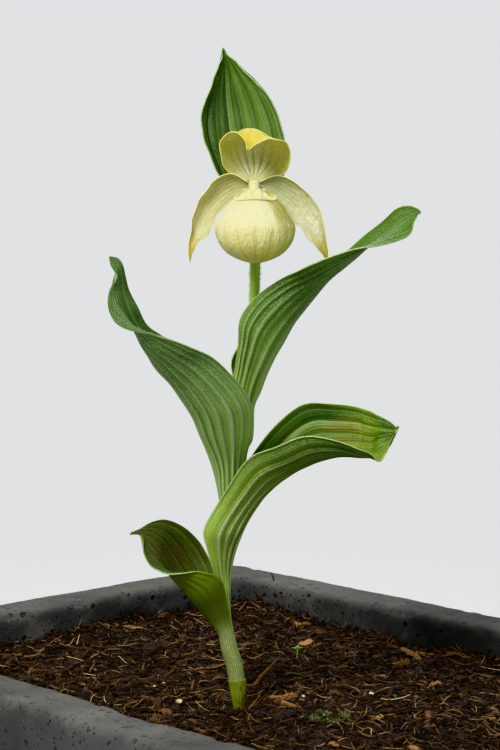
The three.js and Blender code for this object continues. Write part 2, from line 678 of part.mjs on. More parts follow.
function growingMix() {
  const floor = TROUGH.floor + SEAT;
  const depth = MIX_TOP - floor;
  const block = new THREE.BoxGeometry(TROUGH.length, TROUGH.width, depth, 18, 14, 1);
  block.translate(0, 0, floor + depth / 2);
  const position = block.attributes.position;
  for (let i = 0; i < position.count; i++) {
    if (position.getZ(i) > MIX_TOP - 1) {
      position.setZ(i, MIX_TOP + moundAt(position.getX(i), position.getY(i)));
    }
  }
  const random = seededRandom(BARK.seed);
  const bark = [];
  for (let i = 0; i < BARK.splinters + BARK.chips; i++) {
    bark.push(solidOf(barkPiece(random, i < BARK.chips)));
  }
  let body = solidOf(block).intersect(solidOf(cavity(SEAT, floor, TROUGH.height)));
  body = wasm.Manifold.union([body, ...bark]);
  // Air sealed in under crossing bark is filled, and only the one body is kept.
  body = body.decompose().reduce((best, next) => (next.volume() > best.volume() ? next : best));
  const holes = [
    { radius: profileAt(BASE_SHEATH.outer, 0), bottom: BASE_SHEATH.bottom },
    { radius: profileAt(STEM_RADIUS, 0), bottom: -ROOT_DEPTH },
  ];
  for (const { radius, bottom } of holes) {
    const reach = MIX_BELOW_RIM - bottom + SEAT;
    const hole = new THREE.CylinderGeometry(radius + SEAT, radius + SEAT, reach, 14);
    hole.rotateX(Math.PI / 2).translate(PLANT.x, PLANT.y, TROUGH.height - reach / 2);
    body = body.subtract(solidOf(hole));
  }
  return piece('growing_mix', geometryOfSolid(body), 0x3b2618, 1);
}

// ------------------------------------------------------------------------------ assembly

const plant = new THREE.Group();
plant.add(baseSheath(), stem());
plant.add(...Object.keys(LEAVES).map(leaf));
plant.add(...Object.keys(PETALS).map(petal));
plant.add(stalk('ovary', OVARY, 0x7f9f3c), pouch(), stalk('column', COLUMN, 0xf1efcb));
plant.position.set(PLANT.x, PLANT.y, MIX_TOP);
plant.rotation.z = radians(PLANT.turn);

const group = new THREE.Group();
group.add(trough(), growingMix(), plant);

export default group;
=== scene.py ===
# %% [markdown]
# # A slipper orchid in a stone trough
#
# The object is a lady's slipper orchid (Cypripedium) in flower: one stem, four pleated
# leaves, a green bract and one pale yellow flower with an inflated lip. It grows in
# shredded bark, in a trough of cast stone. Every piece here is built at its true size and
# place, so the first step is to load the solids that say where things are.

# %% Load the frame
import math
import random

import bmesh
import bpy
from mathutils import Matrix, Vector, noise


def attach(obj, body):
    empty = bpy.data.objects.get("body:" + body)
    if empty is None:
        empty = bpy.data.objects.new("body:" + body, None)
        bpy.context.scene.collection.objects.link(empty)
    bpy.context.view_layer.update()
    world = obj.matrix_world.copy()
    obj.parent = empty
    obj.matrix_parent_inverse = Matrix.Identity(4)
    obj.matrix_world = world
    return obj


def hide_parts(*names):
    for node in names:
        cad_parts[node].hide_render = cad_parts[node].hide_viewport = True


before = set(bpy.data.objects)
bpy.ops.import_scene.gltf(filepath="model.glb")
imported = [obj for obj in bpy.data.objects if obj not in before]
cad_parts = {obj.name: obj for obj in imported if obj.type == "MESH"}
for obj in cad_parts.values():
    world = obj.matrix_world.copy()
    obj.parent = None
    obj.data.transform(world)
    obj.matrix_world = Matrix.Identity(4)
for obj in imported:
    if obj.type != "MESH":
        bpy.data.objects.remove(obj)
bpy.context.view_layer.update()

# %% [markdown]
# ## Two ways of measuring
#
# The trough is measured from the middle of its underside, and the plant from the spot where
# its stem leaves the mix. Working in millimetres keeps the numbers readable. Each piece is
# modelled where it is easiest to think about, and one matrix puts its mesh in place, so
# every finished object can stay at the origin, unturned and unscaled.

# %% Units and places
MM = 0.001
TROUGH = {
    "length": 400, "width": 288, "height": 150, "wall": 28, "floor": 28,
    "corner": 14, "inner_corner": 8, "taper": 0.05, "drain_radius": 6, "drain_x": 100,
}
MIX_TOP = 132
STEM_FOOT = Vector((-5, -32, MIX_TOP))
PLANT_TURN = math.radians(47)
FULL_TURN = 2 * math.pi

IN_TROUGH = Matrix.Scale(MM, 4)
IN_PLANT = IN_TROUGH @ Matrix.Translation(STEM_FOOT) @ Matrix.Rotation(PLANT_TURN, 4, "Z")
print("the stem leaves the mix at", [round(c, 4) for c in IN_PLANT.translation], "metres")

# %% [markdown]
# ## Camera, floor and light
#
# The plant is seen from a little above, from far enough away that a long lens keeps its
# proportions calm. A wide pale floor fades out into a pale sky, which avoids a hard
# horizon from any side. Three broad lamps and the sky light it softly: a key from the upper
# left, a fill from the right and one from behind, so that no side is left black.


# %% Camera
def show(name, data):
    """A new object in the scene for a mesh, a lamp or a camera."""
    made = bpy.data.objects.new(name, data)
    bpy.context.collection.objects.link(made)
    return made


CAMERA_PLACE, CAMERA_TILT = Vector((5.2, -915, 238.4)), math.radians(84.65)
camera = show("camera", bpy.data.cameras.new("camera"))
camera.data.sensor_width, camera.data.lens, camera.data.clip_end = 36, 97.8, 50
camera.location = IN_PLANT @ CAMERA_PLACE
camera.rotation_euler = (CAMERA_TILT, 0, PLANT_TURN)
bpy.context.scene.camera = camera
print("camera at", [round(c, 3) for c in camera.location])

# %% Lamps
LAMPS = {
    "key": {"place": (0.25, -1.15, 1.35), "size": 0.5, "watts": 27, "tint": (1, 0.98, 0.94)},
    "fill": {"place": (1.3, 0.25, 0.8), "size": 1.0, "watts": 5.5, "tint": (0.95, 0.98, 1)},
    "back": {"place": (-1.0, 0.9, 1.2), "size": 0.9, "watts": 11, "tint": (1, 1, 1)},
}
LAMPS_AIM = Vector((0, 0, 0.25))
for lamp_name, lamp in LAMPS.items():
    light = bpy.data.lights.new(lamp_name, "AREA")
    light.size, light.energy, light.color = lamp["size"], lamp["watts"], lamp["tint"]
    holder = show(lamp_name, light)
    holder.location = lamp["place"]
    holder.rotation_euler = (LAMPS_AIM - holder.location).to_track_quat("-Z", "Y").to_euler()
print(len(LAMPS), "lamps")

# %% Sky
# The camera sees one pale grey, and the object is lit by another.
SKY_LIT, SKY_SEEN, SKY_STRENGTH = (0.88, 0.9, 0.92, 1), (0.8, 0.81, 0.82, 1), 0.4
sky = bpy.data.worlds.new("sky")
sky.use_nodes = True
sky_nodes, join = sky.node_tree.nodes, sky.node_tree.links.new
lit_sky, seen_sky = sky_nodes["Background"], sky_nodes.new("ShaderNodeBackground")
lit_sky.inputs["Color"].default_value = SKY_LIT
lit_sky.inputs["Strength"].default_value = SKY_STRENGTH
seen_sky.inputs["Color"].default_value = SKY_SEEN
ray, either = sky_nodes.new("ShaderNodeLightPath"), sky_nodes.new("ShaderNodeMixShader")
join(ray.outputs["Is Camera Ray"], either.inputs["Fac"])
join(lit_sky.outputs[0], either.inputs[1])
join(seen_sky.outputs[0], either.inputs[2])
join(either.outputs[0], sky_nodes["World Output"].inputs["Surface"])
bpy.context.scene.world = sky
bpy.context.scene.view_settings.view_transform = "Khronos PBR Neutral"
print("sky strength", SKY_STRENGTH)

# %% [markdown]
# ## Shader sums in plain Python
#
# A finish is a small drawing made of numbers that change over a surface. Wiring nodes by
# hand hides the idea, so `Value` wraps one output socket and lets it be added, multiplied
# and compared like a number. `Finish` owns one material: its `node` method makes any other
# node from its type, its settings and the values of its sockets. A colour is then built as
# a painter does it, from a ground and coats, each of which covers only where its share says.


# %% Values
class Value:
    """A number, colour or vector that varies over a surface."""

    def __init__(self, finish, socket):
        self.finish = finish
        self.socket = socket

    def math(self, operation, *inputs):
        return self.finish.node("ShaderNodeMath", {"operation": operation}, dict(enumerate(inputs)))

    def __add__(self, other): return self.math("ADD", self, other)
    def __radd__(self, other): return self.math("ADD", other, self)
    def __sub__(self, other): return self.math("SUBTRACT", self, other)
    def __rsub__(self, other): return self.math("SUBTRACT", other, self)
    def __mul__(self, other): return self.math("MULTIPLY", self, other)
    def __rmul__(self, other): return self.math("MULTIPLY", other, self)
    def __pow__(self, other): return self.math("POWER", self, other)
    def wave(self): return self.math("SINE", self) * 0.5 + 0.5
    def size(self): return self.math("ABSOLUTE", self)

    def stripes(self, count, shift):
        """Even stripes over a share from 0 to 1, moved by a shift in radians."""
        return (self * (FULL_TURN * count) + shift).wave()

    def rise(self, low, high, to_low=0.0, to_high=1.0):
        """An even, eased step from to_low at low up to to_high at high."""
        return self.finish.node(
            "ShaderNodeMapRange", {"interpolation_type": "SMOOTHSTEP"},
            {"Value": self, "From Min": low, "From Max": high, "To Min": to_low, "To Max": to_high})

    def fall(self, low, high):
        return self.rise(low, high, 1.0, 0.0)


# %% Finishes
def paint(code):
    """The shader's colour for a colour as a paint card gives it, such as 4c7a2e."""
    parts = [int(code[i:i + 2], 16) / 255 for i in (0, 2, 4)]
    return (*[p / 12.92 if p <= 0.04045 else ((p + 0.055) / 1.055) ** 2.4 for p in parts], 1.0)


class Finish:
    """A material, built up one expression at a time."""

    def __init__(self, name, shine, glow=None, **constants):
        """A glow is how much light scatters inside, how far in metres, and its tint."""
        self.material = bpy.data.materials.new(name)
        self.material.use_nodes = True
        self.tree = self.material.node_tree
        self.surface = self.tree.nodes["Principled BSDF"]
        constants["Specular IOR Level"] = shine
        if glow:
            constants.update(zip(("Subsurface Weight", "Subsurface Scale", "Subsurface Radius"), glow))
        for socket, value in constants.items():
            self.surface.inputs[socket].default_value = value

    def node(self, kind, settings=None, inputs=None, output=0):
        made = self.tree.nodes.new(kind)
        for name, value in (settings or {}).items():
            setattr(made, name, value)
        for name, value in (inputs or {}).items():
            self.plug(made.inputs[name], value)
        return Value(self, made.outputs[output])

    def plug(self, socket, value):
        if isinstance(value, Value):
            self.tree.links.new(value.socket, socket)
        else:
            socket.default_value = value

    def mix(self, low, high, share):
        """The colour a share of the way from low to high; either may be a paint code."""
        ends = [paint(end) if isinstance(end, str) else end for end in (low, high)]
        return self.node("ShaderNodeMix", {"data_type": "RGBA"}, {0: share, 6: ends[0], 7: ends[1]}, 2)

    def coats(self, ground, coats):
        """A ground under coats of paint, each given as its colour and the share it covers."""
        for colour, share in coats:
            ground = self.mix(ground, colour, share)
        return ground

    def attributes(self, *names):
        return [self.node("ShaderNodeAttribute", {"attribute_name": name}, output="Fac") for name in names]

    def uv(self):
        place = self.node("ShaderNodeUVMap", {"uv_map": "Skin"})
        return [self.node("ShaderNodeSeparateXYZ", None, {0: place}, i) for i in (0, 1)]

    def place(self):
        return self.node("ShaderNodeTexCoord", output="Object")

    def up(self):
        return self.node("ShaderNodeSeparateXYZ", None, {0: self.place()}, 2)

    def point(self, x, y, z=0.0):
        return self.node("ShaderNodeCombineXYZ", None, {0: x, 1: y, 2: z})

    def noise(self, scale, detail=3.0, rough=0.55, twist=0.0, where=None):
        """Noise at the piece's own place, or at a point that is given."""
        return self.node("ShaderNodeTexNoise", None, {
            "Vector": where or self.place(), "Scale": scale, "Detail": detail, "Roughness": rough,
            "Distortion": twist})

    def drawn_noise(self, x, y, z, *character):
        """Noise on values of its own, so that it can be drawn out along a piece."""
        return self.noise(1.0, *character, where=self.point(x, y, z))

    def cells(self, scale, where=None):
        inputs = {"Vector": where or self.place(), "Scale": scale}
        return self.node("ShaderNodeTexVoronoi", None, inputs, "Distance")

    def dress(self, colour, roughness, height=None, relief=0.0):
        """Puts a colour, a roughness and a height in metres on the surface."""
        self.plug(self.surface.inputs["Base Color"], colour)
        self.plug(self.surface.inputs["Roughness"], roughness)
        if height is not None:
            bump = self.node("ShaderNodeBump", None, {"Height": height, "Distance": relief})
            self.plug(self.surface.inputs["Normal"], bump)
        return self


print("ready to mix finishes")

# %% [markdown]
# ## Helpers for making pieces
#
# Nearly every piece ends the same way: its mesh is moved into place, gets its finishes, is
# told what it rides on, and hides the solid that it stands for.
# `skin` is the start of most of them: a flat grid whose two directions are then read as
# "across" and "along", so that one short function can bend it into a leaf or a stalk. The
# grid's own map stays on it, and the finishes use that map to run veins along a leaf.


# %% Making and keeping
def skin(across, along):
    """A grid from -1 to 1 both ways, with a map called Skin."""
    bm = bmesh.new()
    bm.loops.layers.uv.new("Skin")
    bmesh.ops.create_grid(bm, x_segments=across, y_segments=along, size=1, calc_uvs=True)
    return bm


def places(bm):
    """Every vertex of a skin, with its side from -1 to 1 and its share along from 0 to 1."""
    for vert in bm.verts:
        yield vert, vert.co.x, (vert.co.y + 1) / 2


def layers(bm, *names):
    """New numbers on every vertex, which the finishes read by name."""
    return [bm.verts.layers.float.new(name) for name in names]


def ball(bm, subdivisions, radius=1):
    """Adds a ball of even triangles, and gives its vertices."""
    return bmesh.ops.create_icosphere(bm, subdivisions=subdivisions, radius=radius)["verts"]


def close_seams(bm, gap):
    """Merges what lies within a gap, and turns the faces outwards."""
    bmesh.ops.remove_doubles(bm, verts=bm.verts, dist=gap)
    bmesh.ops.recalc_face_normals(bm, faces=bm.faces)
    return bm


def pour(source, bm):
    """Adds all of one bmesh to another, and frees the first."""
    lent = bpy.data.meshes.new("lent")
    source.to_mesh(lent)
    source.free()
    bm.from_mesh(lent)
    bpy.data.meshes.remove(lent)


def keep(name, bm, finishes, slot, *nodes, place=IN_PLANT):
    """Turns a finished bmesh into a piece of the object."""
    bmesh.ops.transform(bm, matrix=place, verts=bm.verts)
    for face in bm.faces:
        face.smooth = True
    mesh = bpy.data.meshes.new(name)
    bm.to_mesh(mesh)
    bm.free()
    for finish in finishes:
        mesh.materials.append(finish.material)
    piece = show(name, mesh)
    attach(piece, "root")
    if nodes:
        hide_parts(*nodes)
    print(f"{name}: {len(mesh.polygons)} faces")
    return piece


def thicken(piece, thickness, offset=0):
    """Gives a sheet a wall; its second finish goes on the back and its third on the rim."""
    wall = piece.modifiers.new("wall", "SOLIDIFY")
    wall.thickness, wall.offset = thickness * MM, offset
    wall.material_offset, wall.material_offset_rim = 1, 2


# %% Easing and profiles
def ease(x, low, high):
    """0 below low, 1 above high, and a smooth way up between them."""
    share = min(max((x - low) / (high - low), 0.0), 1.0)
    return share * share * (3 - 2 * share)


def blend(low, high, share):
    return low + (high - low) * share


def between(profile, x):
    """The value at x of a profile given as (x, value) pairs."""
    if x <= profile[0][0]:
        return profile[0][1]
    for (x0, y0), (x1, y1) in zip(profile, profile[1:]):
        if x <= x1:
            return blend(y0, y1, (x - x0) / (x1 - x0))
    return profile[-1][1]


class Rail:
    """A smooth curve through points that stays calm where they lie unevenly."""

    def __init__(self, points):
        points = [Vector(p) for p in points]
        self.points = [2 * points[0] - points[1], *points, 2 * points[-1] - points[-2]]

    def at(self, share):
        spans = len(self.points) - 3
        span = min(int(share * spans), spans - 1)
        w = share * spans - span
        p0, p1, p2, p3 = self.points[span:span + 4]
        d0, d1, d2 = [max(gap.length, 1e-8) ** 0.5 for gap in (p1 - p0, p2 - p1, p3 - p2)]
        t1 = ((p1 - p0) / d0 - (p2 - p0) / (d0 + d1) + (p2 - p1) / d1) * d1
        t2 = ((p2 - p1) / d1 - (p3 - p1) / (d1 + d2) + (p3 - p2) / d2) * d1
        a = 2 * p1 - 2 * p2 + t1 + t2
        b = -3 * p1 + 3 * p2 - 2 * t1 - t2
        return ((a * w + b) * w + t1) * w + p1

    def heading(self, share):
        step = 1e-3
        return (self.at(min(share + step, 1)) - self.at(max(share - step, 0))).normalized()


def sideways(way):
    """The direction nearest to +X that is square to a heading."""
    return (Vector((1, 0, 0)) - way * way.x).normalized()


print("helpers ready")

# %% [markdown]
# ## The stem's line
#
# The stem leans and bends a little, and everything else hangs on it: leaf sheaths are rings
# round it. One curve gives its centre and direction at any height. The rings are measured
# from the plant's own +X, so a heading in degrees always means the same side.

# %% The stem's line
STEM_LINE = Rail([
    (0, 0, -30), (0, 0, 0), (-1.5, 0, 17.5), (-5, 0, 31), (-6.5, 0, 45), (-6.5, 0, 56.5),
    (-5.5, 0, 70.5), (-4, 0, 86.5), (-2, 0, 105), (0, 0, 123), (2.5, 0, 141.5), (5, 0, 164),
    (7, 0, 186.5), (7.5, 0, 202.5), (7.5, 0, 212),
])
STEM_RADIUS = [(-30, 1.7), (1, 1.7), (12, 2.75), (33, 2.75), (38, 1.85), (57, 1.85), (64, 2.2), (212, 2.2)]


def stem_share(height):
    """How far along the stem's line a height is, found by halving."""
    low, high = 0.0, 1.0
    while high - low > 1e-6:
        middle = (low + high) / 2
        if STEM_LINE.at(middle).z < height:
            low = middle
        else:
            high = middle
    return low


def ring_point(height, radius, *headings):
    """Points round the stem at a height, one for each heading in degrees."""
    share = stem_share(height)
    centre, way = STEM_LINE.at(share), STEM_LINE.heading(share)
    out = sideways(way) * radius
    return [centre + Matrix.Rotation(math.radians(h), 3, way) @ out for h in headings]


print("stem tip at", [round(c, 1) for c in STEM_LINE.at(1)])

# %% [markdown]
# ## How a blade is shaped
#
# A pleated leaf is hard to draw as a surface and easy to draw as three lines: the margin on
# the flower's side, the keel, and the far margin. At every station the cross-section is
# the arc through the three points, so the leaf can be a tube round the stem at its foot, a
# cradle in its middle and flat at its tip without a seam. Pleats and wavy margins are then
# pushed along the surface's own normals. Solidify gives it two faces and a rim at the end.

# %% Cross-sections and rails
SIDES = ("near", "keel", "far")
BLADE_END = 0.998  # a blade stops a hair short of its tip, so its last faces keep a size
NEARLY_STRAIGHT = 0.02


def arc(near, keel, far):
    """The arc through three points, as a function of side from -1 to 1."""
    to_keel, to_far = keel - near, far - near
    axis = to_keel.cross(to_far)
    if axis.length < NEARLY_STRAIGHT * to_keel.length * to_far.length:
        return lambda side: keel.lerp(near if side < 0 else far, abs(side))
    towards = to_far * to_keel.length_squared - to_keel * to_far.length_squared
    centre = near + towards.cross(axis) / (2 * axis.length_squared)
    axis.normalize()
    start = keel - centre

    def turn_to(end, sign):
        turn = math.atan2(start.cross(end).dot(axis), start.dot(end))
        return turn + sign * FULL_TURN if turn * sign < 0 else turn

    turns = {-1: turn_to(near - centre, -1), 1: turn_to(far - centre, 1)}
    return lambda side: centre + Matrix.Rotation(
        turns[-1 if side < 0 else 1] * abs(side), 3, axis) @ start


def sheath_rings(sheath):
    """Near, keel and far points of each ring of the part of a leaf that wraps the stem."""
    for ring in range(sheath["rings"]):
        share = ring / (sheath["rings"] - 1)
        half = blend(*sheath["wrap"], share) / 2 * sheath["hand"]
        facing = sheath["facing"]
        yield ring_point(
            blend(sheath["from"], sheath["to"], share), blend(*sheath["radius"], share),
            facing + half, facing, facing - half)


def blade_rows(shape):
    """A function from a share of the length to near, keel and far, and where the sheath ends."""
    rings = [*sheath_rings(shape["sheath"])] if "sheath" in shape else []
    rails = [Rail([*(ring[i] for ring in rings), *shape[side]]) for i, side in enumerate(SIDES)]
    sheath_end = len(rings) / (len(rings) + len(shape["near"]) - 1)
    return (lambda share: [rail.at(share) for rail in rails]), sheath_end


# %% Blades
def blade(name, shape, grid, relief, thickness, finishes, slot, flip=False, nudge=None):
    """A blade with its pleats raised, named after the solid that it stands for."""
    bm = skin(*grid)
    margin, phase, strength = layers(bm, "margin", "phase", "strength")
    rows_at, sheath_end = blade_rows(shape)
    rows, where = {}, {}
    for vert, side, along in places(bm):
        share = along * BLADE_END
        key = round(share, 6)
        if key not in rows:
            near, keel, far = rows_at(share)
            reach = ((keel - near).length, (far - keel).length)
            rows[key] = (arc(near, keel, far), reach, (far - near).length)
        section, reach, width = rows[key]
        vert.co = section(side)
        if nudge:
            vert.co += nudge(side, share)
        vert[margin] = (1 - abs(side)) * reach[0 if side < 0 else 1]
        where[vert.index] = (side, share, width)
    bm.normal_update()
    for vert in bm.verts:
        height, vert[phase], vert[strength] = relief(*where[vert.index], sheath_end, vert.co)
        vert.co += vert.normal * height
    if flip:
        bmesh.ops.reverse_faces(bm, faces=bm.faces)
    thicken(keep(name, bm, finishes, slot, name), thickness)


print("blades are ready to be drawn")

# %% [markdown]
# ## The leaves' three lines
#
# Each leaf clasps the stem below and opens above: `sheath` says how far round and how high
# it wraps, and the three rows of points are its margins and keel, station by station, in
# the plant's millimetres. The bract behind the flower is a leaf too, only smaller.

# %% Leaves, station by station
LEAVES = {
    "leaf_1": {
        "sheath": {
            "from": 12.2, "to": 35, "rings": 4, "radius": [3.5, 3.75],
            "wrap": [344, 296], "facing": 180, "hand": 1,
        },
        "near": [
            (-5, -5, 48), (-8.5, -9, 61.5), (-15, -13, 65), (-23, -15, 65.5), (-31.5, -14, 64.5),
            (-38.5, -11, 66.5), (-42, -7, 72.5), (-44, -3, 80), (-49.5, -1, 80.5),
        ],
        "keel": [
            (-16, -1, 43.5), (-21, -3, 50.5), (-26.5, -4, 57), (-31, -5, 62.5), (-35.5, -5, 68),
            (-39.5, -4, 72.5), (-43, -3, 77.5), (-45, -2, 80.5), (-49, -1, 80.5),
        ],
        "far": [
            (-6.5, 8, 52), (-10.5, 11, 58.5), (-13.5, 13, 66), (-18, 14, 74), (-25.5, 12, 81.5),
            (-34, 8, 85.5), (-40.5, 4, 84.5), (-45, 0, 82.5), (-49, -1, 81),
        ],
    },
    "leaf_2": {
        "sheath": {
            "from": 39, "to": 55, "rings": 3, "radius": [2.6, 2.65],
            "wrap": [336, 300], "facing": 0, "hand": -1,
        },
        "near": [
            (-11.5, -4, 64), (-14.5, -8, 76.5), (-15.5, -10, 83.5), (-10.5, -13, 94), (-4, -17, 105),
            (5, -22, 118), (16.5, -27, 123.5), (29, -30, 128.5), (40, -33, 128), (52, -34, 124),
            (57.5, -32.7, 121.1), (61.8, -31, 118), (64.3, -29, 121), (66.5, -26, 124), (71, -19, 131),
        ],
        "keel": [
            (-3.5, -1, 64), (-1, -3, 75), (3, -5, 84.5), (7.5, -7, 92.5), (14, -9, 101.5),
            (22, -10, 108.5), (31.5, -11, 114), (39.5, -14, 117), (49.5, -19, 119.2), (54, -21, 119),
            (58.5, -22.8, 119.4), (61.5, -23.4, 121.2), (64.2, -23.2, 123.3), (68.5, -21.5, 127),
            (71, -19, 131.5),
        ],
        "far": [
            (-10, 6, 64.5), (-9.5, 9, 76), (-6, 9, 89), (-1, 8, 103), (8, 3, 118.5), (18, -2, 131.5),
            (28.5, -1, 139), (41, -2, 140), (53, -6, 139), (57, -9, 137.9), (61, -12, 136.5),
            (64.5, -14.7, 135), (67.5, -17, 133.5), (70, -19, 131.5), (71, -19, 132),
        ],
    },
    "leaf_3": {
        "sheath": {
            "from": 76, "to": 86, "rings": 3, "radius": [2.95, 3.2],
            "wrap": [330, 280], "facing": 215, "hand": 1,
        },
        "near": [
            (2, -3, 103), (3.5, -8, 116), (6, -13, 130), (5.5, -18, 141), (0, -25, 151.5),
            (-10.5, -36, 163), (-22, -48, 170), (-34, -53, 174.5), (-43, -52, 176), (-52, -49, 180),
            (-55.5, -43, 186), (-54.5, -38, 193), (-52.5, -34, 198.5), (-55, -29, 203), (-56, -26, 207),
        ],
        "keel": [
            (-8.5, -2.5, 97), (-10.5, -8, 112), (-16, -14, 126), (-20.5, -21, 138),
            (-27.5, -27.5, 149.5), (-35, -33, 159), (-41, -36, 167.5), (-44.5, -37, 175.5),
            (-48, -37, 181.5), (-50.5, -36, 187.5), (-52, -34, 193.5), (-52, -32, 199),
            (-52.5, -30, 202.5), (-55, -27.5, 205), (-56, -26, 207),
        ],
        "far": [
            (-1, 6, 99.5), (-2, 5, 112.5), (-5, 2, 127.5), (-7, -1, 141.5), (-12.5, -5, 153),
            (-21.5, -12, 162), (-29, -20, 168.5), (-34.5, -23, 173), (-39.5, -25, 176.5),
            (-43.5, -26, 183), (-47.5, -25, 192), (-49.5, -25, 199), (-50.5, -26, 203.5),
            (-53, -26, 206.5), (-56, -26, 207),
        ],
    },
    "leaf_4": {
        "sheath": {
            "from": 101, "to": 117, "rings": 3, "radius": [2.95, 3.2],
            "wrap": [330, 290], "facing": 340, "hand": -1,
        },
        "near": [
            (-3, -3.5, 133), (-2.5, -5, 149.5), (-1, -8, 159.5), (0.5, -12, 171.5), (2, -15, 181),
            (8.5, -18, 189.5), (17.5, -24, 196.5), (28, -37, 202.6), (38.5, -43, 207.3), (48.5, -46, 210.2),
            (58.5, -47, 212.4), (67.8, -46, 214.5), (73.7, -44, 217.2), (75.8, -39.5, 222.3),
            (77.5, -37, 225.5), (78.5, -36, 226),
        ],
        "keel": [
            (5.5, -2.5, 123.5), (5, -5, 138.5), (7.5, -9, 149), (11.5, -12, 159), (16.5, -15, 168.5),
            (24, -18, 179.5), (32, -21, 189), (40.5, -24, 197.5), (48.5, -27, 204), (54.5, -30, 210),
            (60, -32, 215), (66, -34, 220), (70.5, -35, 223.5), (74.5, -35.5, 225.5),
            (77.5, -36, 226.5), (78.5, -36, 226),
        ],
        "far": [
            (-3, 3.5, 134), (-2.5, 5, 151), (-3, 6, 159), (2, 7, 169), (9.5, 5, 178), (17.5, -1, 188),
            (26, -5, 195.5), (35, -7, 201), (43, -10, 206), (50, -15, 211), (57, -20, 217),
            (63, -25, 222), (68.2, -30, 228), (73.3, -33, 229.2), (77, -35, 228), (78.8, -36, 226.5),
        ],
    },
    "bract": {
        "sheath": {
            "from": 205.5, "to": 210.5, "rings": 2, "radius": [2.95, 3.1],
            "wrap": [215, 200], "facing": 90, "hand": 1,
        },
        "near": [
            (0.5, 0, 220), (-4, 2, 232), (-10.5, 4, 246.5), (-16, 6, 259), (-16.5, 8, 269.5),
            (-14, 9, 279), (-10, 10, 288), (-8, 10.5, 295), (-7, 11, 299.5),
        ],
        "keel": [
            (7, 7, 220), (5.5, 10, 231.5), (4, 13, 244), (1, 15, 257), (-1, 16, 268.5), (-3, 16, 279.5),
            (-4.5, 15, 288.5), (-6, 13, 295), (-7, 11, 299.5),
        ],
        "far": [
            (13.5, 0, 220), (18, 2, 232), (21, 4, 245.5), (20.5, 6, 259.5), (18, 8, 270), (12, 9, 280),
            (4, 11, 288.5), (-3.5, 11.5, 295), (-7, 11, 299.5),
        ],
    },
}
print(len(LEAVES), "leaves measured")

# %% [markdown]
# ## Leaf colours
#
# A leaf's two faces differ. The outside is pale along its raised ribs, partly the ribs' own
# colour and partly a painted highlight, with painted shade on the flank beside each rib. The
# inside is deeper green, with painted shade in its grooves and a painted highlight beside them.
# The lowest leaf fades to a whitish tube where it wraps the stem. Fine veins run the whole
# length between the ribs. All of it follows the blade's own map, so the veins bend and narrow
# with the leaf. Some leaves have rusty streaks, which are a stretched noise that only shows
# where it is strong. The bract is lighter on one half as painted light and darker on the other
# as painted shade, and some insides have painted shade towards the foot.


